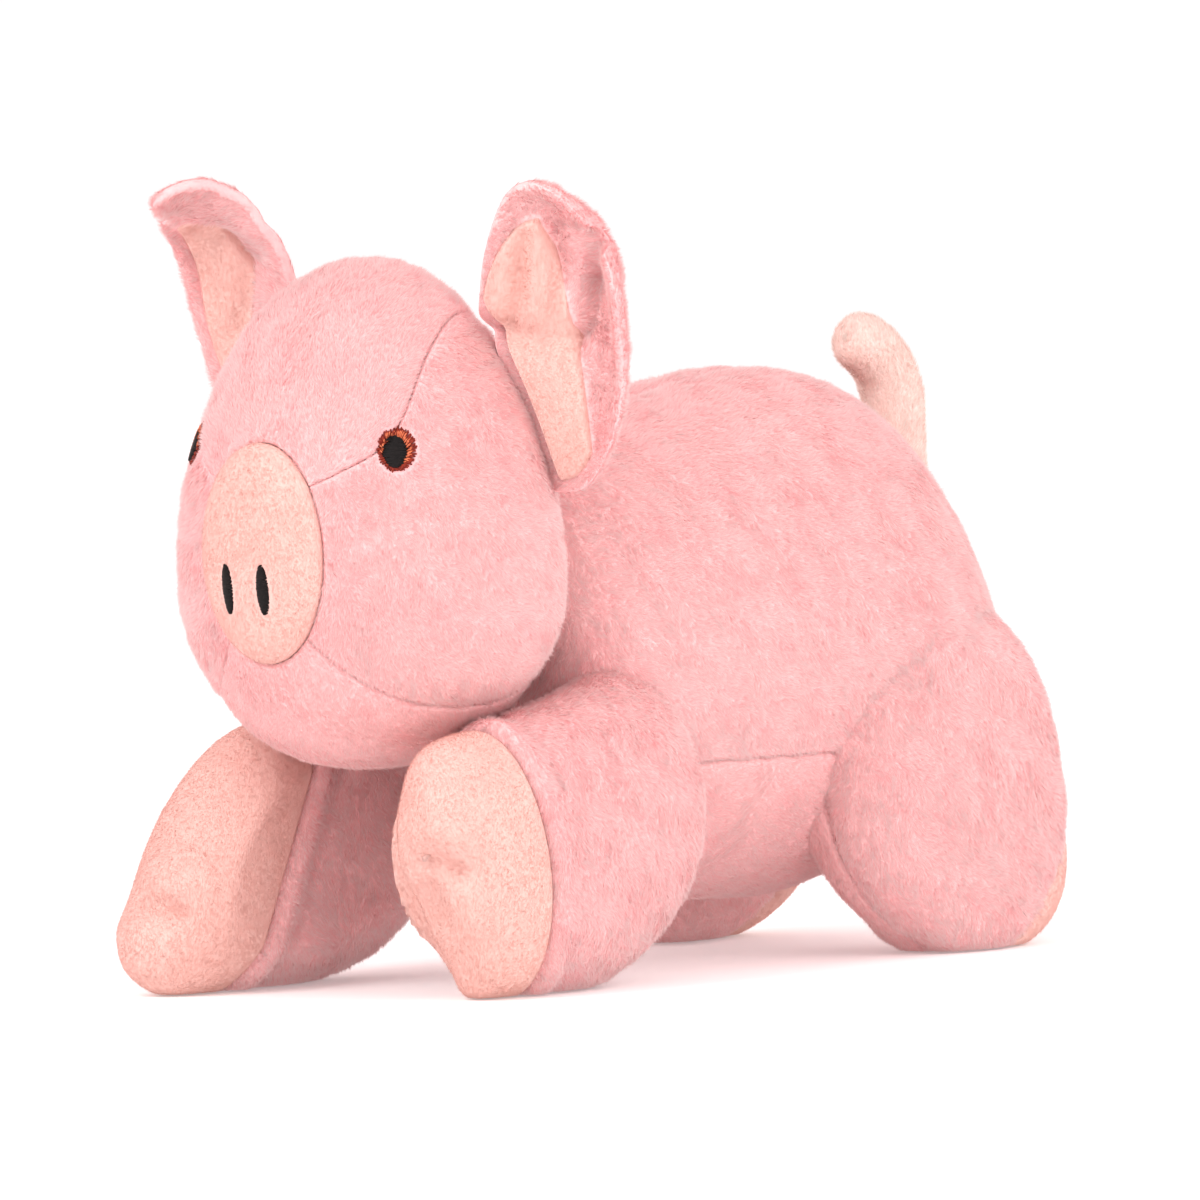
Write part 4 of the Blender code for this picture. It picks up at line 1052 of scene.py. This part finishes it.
# Rays of an iris: name, how many, from and to which angle, thread's half width, how far raised,
# where they end as a share of the patch, and material.
IRIS_RAYS = (
    ("iris", 96, 0, 360, 0.00033, 0.0, (0.93, 1.07), rust_thread),
    ("iris_glint", 34, -50, 190, 0.00024, 0.00045, (0.72, 0.92), orange_thread),
)
rng = np.random.default_rng(40)
pad_tree = surface_tree(pad)
for side in SIDES:
    patch = patch_of(f"nostril_{side}")
    rows = satin_rows(patch.half, rng)
    piece = stitched(f"nostril_{side}_thread", pad_tree, patch, rows, 0.00034, black_thread)
    set_on(piece, "head", f"nostril_{side}")
    eye_tree = surface_tree(cheeks[side], forehead)
    patch, pupil = patch_of(f"iris_{side}"), patch_of(f"pupil_{side}")
    # The pupil sits a little low and before its iris, and is stitched fuller than its solid.
    pupil = pupil._replace(
        centre=pupil.centre - pupil.over * 0.0006 - pupil.rise * 0.0010, half=pupil.half * (1.22, 1.06)
    )
    away = pupil.centre - patch.centre
    offset = np.array((away @ patch.over, away @ patch.rise))
    for name, count, low, high, half, raised, ends, material in IRIS_RAYS:
        rays = []
        for angle in np.radians(np.linspace(low, high, count, endpoint=False) + rng.uniform(-3, 3, count)):
            ray = np.array((math.cos(angle), math.sin(angle)))
            end = ray * patch.half * rng.uniform(*ends)
            rays.append((offset + ray * pupil.half * rng.uniform(0.7, 0.95), end))
        piece = stitched(f"{name}_{side}_thread", eye_tree, patch, rays, half, material, raised)
        set_on(piece, "head", f"iris_{side}" if name == "iris" else None)
    rows = satin_rows(pupil.half, rng)
    piece = stitched(f"pupil_{side}_thread", eye_tree, pupil, rows, 0.00036, black_thread, 0.0006)
    set_on(piece, "head", f"pupil_{side}")

# Forelegs
# How each fore hoof is drawn aside and pressed: how far, how wide in the view and where.
HOOF_PULLS = {
    "left": ((0.0085, 46, (400, 915), (420, 958)), (0.004, 50, (384, 800), (384, 830))),
    "right": ((-0.004, 34, (124, 940), (126, 965)),),
}
HOOF_FOLDS = {
    "left": (
        (0.0045, 12, (424, 862), (456, 872)),
        (-0.0022, 22, (430, 830), (470, 838)),
        (0.0030, 14, (428, 890), (440, 925)),
    ),
    "right": ((0.0040, 11, (146, 900), (176, 910)), (-0.0018, 20, (170, 870), (200, 880))),
}
for side, sign in SIDES.items():
    form, leg = foreleg_forms[side], f"foreleg_{side}"
    # A line behind the shoulder, from the torso to the leg, which set_on takes but does not use.
    start = SHOULDER * (sign, 1, 1) + MIDDLE + (0, 0.018, 0)
    crossing = ("torso", leg, start, start + np.array((sign * 0.014, -0.018, 0)))
    runs = run_set(0.0, HOOF_EDGE - PIECE_GAP, 40, 0.5)
    panel = Panel(f"forehoof_{side}_cloth", form, runs, round_set(80), (False, True), True, sign < 0)
    panel.fill_out(0.0012, 0.006, 0.0022)
    # The toe is drawn in below a full upper lobe, with a cleft between them.
    for pull in HOOF_PULLS[side]:
        panel.pull(*pull)
    for fold in HOOF_FOLDS[side]:
        panel.press(*fold)
    panel.settle()
    sew(panel, "velour", f"forehoof_{side}", leg, 0.75, (0, -0.3, -1), 300 + sign)
    runs = run_set(HOOF_EDGE + PIECE_GAP, 1, 52, 0.5)
    panel = Panel(f"foreleg_sleeve_{side}_cloth", form, runs, round_set(88), (True, False), True, sign < 0)
    panel.fill_out(0.0014, 0.006, 0.0022)
    # The sleeve swells into a soft bead beside the hoof's seam, and dips behind it.
    bead = 0.0016 * np.exp(-(((panel.reach - 0.0045) / 0.0032) ** 2))
    panel.move(bead - 0.0010 * np.exp(-(((panel.reach - 0.012) / 0.004) ** 2)))
    panel.points += flow_into(body_tree, panel.points, panel.out, shoulder_flow(panel.points))
    panel.settle()
    sew(panel, "plush", f"foreleg_sleeve_{side}", crossing, 0.7, (0.1 * sign, 0.25, -0.95), 310 + sign)

# Hind legs
# The plane of the hoof's seam, and the pieces that it parts: node, cloth, first and last run, rows,
# which ends are seams, how full they are, combing and seed.
HOOF_PLANE = HIP + HOOF_WAY * (FOOT_REACH - HINDHOOF_DEPTH)
HINDLEG_PIECES = (
    ("thigh", "plush", THIGH_EDGE + 0.002, 1.0, 36, (True, False), 0.7, (0, 0.5, -0.85), 400),
    ("hindleg_inner", "smooth", 0.0, THIGH_EDGE - 0.002, 34, (False, True), 0.7, (0, 0.5, -0.85), 410),
    ("hindhoof", "velour", 0.0, 1.0, 70, (False, False), 0.75, (0, 0.3, -1), 420),
)
for side, sign in SIDES.items():
    leg, seam_place = f"hindleg_{side}", HOOF_PLANE * (sign, 1, 1) + MIDDLE
    start, end = (np.array((sign * x, HIP[1], z)) + MIDDLE for x, z in ((0.055, 0.112), (0.060, 0.082)))
    for node, kind, low, high, rows, ends, fill_share, combing, seed in HINDLEG_PIECES:
        runs, is_hoof = run_set(low, high, rows, 0.4), node == "hindhoof"
        panel = Panel(f"{node}_{side}_cloth", hindleg_point, runs, round_set(96), ends, True, sign < 0)
        panel.reach = np.minimum(panel.reach, np.abs((panel.points - HOOF_PLANE) @ HOOF_WAY))
        panel.fill_out(0.0014, 0.006, 0.0022)
        panel.points += flow_into(body_tree, panel.points, panel.out, hip_crease(panel.points))
        panel.points[..., 2] = np.maximum(panel.points[..., 2], SOLE_CLEAR)
        panel.settle()
        panel.cut = (seam_place, -HOOF_WAY if is_hoof else HOOF_WAY, is_hoof)
        held = leg if is_hoof else ("torso", leg, start, end)
        sew(panel, kind, f"{node}_{side}", held, fill_share, combing, seed + sign)

# Tail
root = TAIL_PIVOT + MIDDLE
crossing = ("torso", "tail", root, root + np.array((0, 0.003, 0.011)))
panel = Panel("tail_cloth", tail_point, run_set(0.012, 1.0, 64, 0.3), round_set(36), wraps=True)
panel.settle()
sew(panel, "pale", "tail_skin", crossing, 0.8, (0, 0, 1), 500, thickness=0.002)


# Neck
def neck_form(turn, run):
    """A short filled collar, laid along Y from the head to the body."""
    turn, run = grid_of(turn, run)
    radius = 0.0375 + 0.016 * np.maximum(1 - 2 * run, 0) ** 2 - 0.008 * np.maximum(2 * run - 1, 0) ** 2
    angle = turn * math.tau
    height = NECK_PIVOT[2] + radius * np.sin(angle)
    return np.stack([radius * np.cos(angle), between(-0.075, -0.030, run), height], -1)


panel = Panel("neck_cloth", neck_form, np.linspace(0, 1, 26)[:, None], round_set(64), wraps=True)
panel.settle()
pivot = NECK_PIVOT + MIDDLE
crossing = ("neck", "head", pivot + (0, 0.004, 0), pivot - (0, 0.022, 0))
sew(panel, "plush", "neck_stuffing", crossing, 0.6, (0, 0.7, -0.7), 510)

# Ears
# Folds of each ear: how deep, how wide in the view and where.
EAR_FOLDS = {
    "left": (
        (-0.0024, 14, (574, 205), (583, 262), (572, 318)),
        (0.0036, 11, (597, 280), (591, 322), (580, 338)),
        (0.0026, 12, (490, 330), (508, 333), (538, 340), (576, 334)),
        (0.0026, 10, (522, 240), (516, 292), (508, 326)),
        (-0.0016, 11, (505, 258), (497, 305)),
        (-0.0016, 13, (538, 225), (541, 290), (532, 318)),
        (0.0016, 8, (555, 232), (558, 290), (550, 316)),
    ),
    "right": (
        (0.0022, 11, (200, 234), (225, 229), (243, 238), (258, 258)),
        (-0.0024, 14, (178, 214), (222, 204), (262, 226)),
        (0.0020, 10, (249, 262), (245, 300), (238, 330)),
        (-0.0014, 13, (226, 252), (224, 300)),
        (0.0014, 13, (200, 262), (212, 300)),
    ),
}
# Borders of the lining: beside its first and last edge, its lowest row and its highest rows.
EAR_LININGS = {
    "left": (0.004, (0.004, 0.011), 0.08, (0.25, 0.50)),
    "right": (0.009, (0.028, 0.018), 0.26, (0.92, 0.92)),
}
EAR_HALF_THICKNESS = 0.0021
EAR_SET_BACK = 0.0010
EAR_EDGE = 0.0032
for side, sign in SIDES.items():
    seam = EAR_PIVOT * (sign, 1, 1) + MIDDLE
    leaf_way = unit(EAR_BENDS[side][0]) * (sign, 1, 1)
    crossing = ("head", f"ear_{side}", seam, seam + leaf_way * 0.010)
    across, rows = close_set(64, gather=0.7)[None, :], close_set(66, gather=0.6)[:, None]
    panel = Panel(f"ear_outer_{side}_cloth", ear_point(side), rows, across, (False, True), mirrored=sign < 0)
    for fold in EAR_FOLDS[side]:
        panel.press(*fold)
    towards = facing_of(panel.points, False)
    # A full leaf: thick in its middle, round at its border, with its back towards the rear.
    leaf = np.sqrt(np.clip(1 - np.clip(1 - panel.reach / EAR_EDGE, 0, 1) ** 2, 0, 1))
    half = (EAR_HALF_THICKNESS * leaf)[..., None]
    centre = panel.points - towards * EAR_SET_BACK
    rim = copy.copy(panel)
    rim.name, rim.out = f"ear_rim_{side}", towards * panel.flip
    rim.points = (centre + towards * half) * panel.flip + MIDDLE
    panel.points, panel.out = (centre - towards * half) * panel.flip + MIDDLE, -towards * panel.flip
    panel.mirrored = not panel.mirrored
    sew(panel, "plush", f"ear_outer_{side}", crossing, 0.3, leaf_way, 600 + sign, under=rim.points)
    rows, across = close_set(52, gather=0.6)[:, None], close_set(52, gather=0.6)[None, :]
    lined = ear_point(side, *EAR_LININGS[side])
    panel = Panel(f"ear_lining_{side}_cloth", lined, rows, across, (sign < 0, True), mirrored=sign < 0)
    panel.move(0.0026 + 0.0010 * (1 - np.exp(-panel.reach / 0.004)) - rolled(panel.reach, 0.0020) * 1.4)
    for fold in EAR_FOLDS[side]:
        panel.press(*fold)
    panel.settle()
    lining = sew(panel, "velour", f"ear_lining_{side}", crossing, 0.3, leaf_way, 610 + sign, thickness=0.0018)
    # The plush shows in front too, wherever the lining leaves it free.
    tree = surface_tree(lining)
    rays = zip(rim.points.reshape(-1, 3), rim.out.reshape(-1, 3))
    free = [tree.ray_cast(Vector(place), Vector(way), 0.007)[0] is None for place, way in rays]
    rim.shown = np.array(free).reshape(rim.points.shape[:2])
    set_on(comb(rim, "plush", leaf_way, 620 + sign), crossing)

# Stuffing, which lies a little inside the skins, also where a hoof is drawn in
FILL_INSET = 0.0026
TOE_LINE, TOE_WIDTH, TOE_DRAWN = ((398, 915), (420, 958)), 56, 0.0125
stuffings = {"body_stuffing": "torso", "head_stuffing": "head", "tail_stuffing": "tail"}
for leg in ("foreleg", "hindleg"):
    stuffings.update({f"{leg}_stuffing_{side}": f"{leg}_{side}" for side in SIDES})
for node, body in stuffings.items():
    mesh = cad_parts[node].data.copy()
    mesh.materials.clear()
    mesh.name = f"{node}_fill"
    piece = placed(mesh, fill)
    with mesh_of(piece) as bm:
        bmesh.ops.remove_doubles(bm, verts=bm.verts[:], dist=1e-5)
        for vert in bm.verts:
            vert.co -= vert.normal * FILL_INSET
        if node == "foreleg_stuffing_left":
            places = np.array([v.co for v in bm.verts]) - MIDDLE
            share = np.exp(-((line_distance(seen_at(places), TOE_LINE) / TOE_WIDTH) ** 2))
            for vert, part in zip(bm.verts, share):
                vert.co += right * TOE_DRAWN * part
    set_on(piece, body, node)


# Camera, floor and light
camera = bpy.data.objects.new("camera", bpy.data.cameras.new("camera"))
camera.data.type = "ORTHO"
camera.data.ortho_scale = 2 * PICTURE_HALF / PIXELS_PER_METRE
pose = Matrix((view_right, view_up, back)).transposed().to_4x4()
pose.translation = aim + Vector(MIDDLE) + back * 2
camera.matrix_world = pose
bpy.context.scene.collection.objects.link(camera)
bpy.context.scene.camera = camera

bpy.ops.object.select_all(action="DESELECT")
bpy.ops.mesh.primitive_plane_add(size=14, location=(0, 0, -0.0002))
floor = bpy.context.object
floor.name = "floor"
floor_paint, tree, shader = new_material("floor_paper", 0.95)
grain = noise_node(tree, tree.nodes.new("ShaderNodeTexCoord").outputs["Object"], 6, 3)
paper = colour_steps(tree, grain, ((0.3, (0.93, 0.93, 0.93)), (0.7, (0.95, 0.95, 0.95))))
tree.links.new(paper, shader.inputs["Base Color"])
set_inputs(shader, {"Emission Color": (1, 1, 1, 1), "Emission Strength": 0.22})
floor.data.materials.append(floor_paint)
floor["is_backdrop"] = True

# Soft round lights, turned to the middle of the toy: place, size and power.
LIT_PLACE = Vector((0, 0, 0.1))
for name, place, size, power in (
    ("window_light", (-0.3, -1.6, 1.5), 1.3, 18),
    ("side_light", (1.7, -0.3, 0.8), 1.4, 11),
    ("rear_light", (0.7, 1.8, 1.2), 1.4, 7),
):
    lamp = bpy.data.lights.new(name, "AREA")
    lamp.shape, lamp.size, lamp.energy = "DISK", size, power
    light = bpy.data.objects.new(name, lamp)
    light.location = place
    light.rotation_euler = (LIT_PLACE - Vector(place)).to_track_quat("-Z", "Y").to_euler()
    bpy.context.scene.collection.objects.link(light)

# The backdrop is seen white and lights the toy a little pink.
world = bpy.data.worlds.new("studio")
bpy.context.scene.world = world
world.use_nodes = True
tree = world.node_tree
seen, lit = tree.nodes["Background"], tree.nodes.new("ShaderNodeBackground")
set_inputs(seen, {"Color": (1, 1, 1, 1), "Strength": 1.0})
set_inputs(lit, {"Color": (1, 0.85, 0.845, 1), "Strength": 0.99})
mix = tree.nodes.new("ShaderNodeMixShader")
tree.links.new(tree.nodes.new("ShaderNodeLightPath").outputs["Is Camera Ray"], mix.inputs["Fac"])
tree.links.new(lit.outputs["Background"], mix.inputs[1])
tree.links.new(seen.outputs["Background"], mix.inputs[2])
tree.links.new(mix.outputs["Shader"], tree.nodes["World Output"].inputs["Surface"])
bpy.context.scene.view_settings.view_transform = "Standard"

low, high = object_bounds()
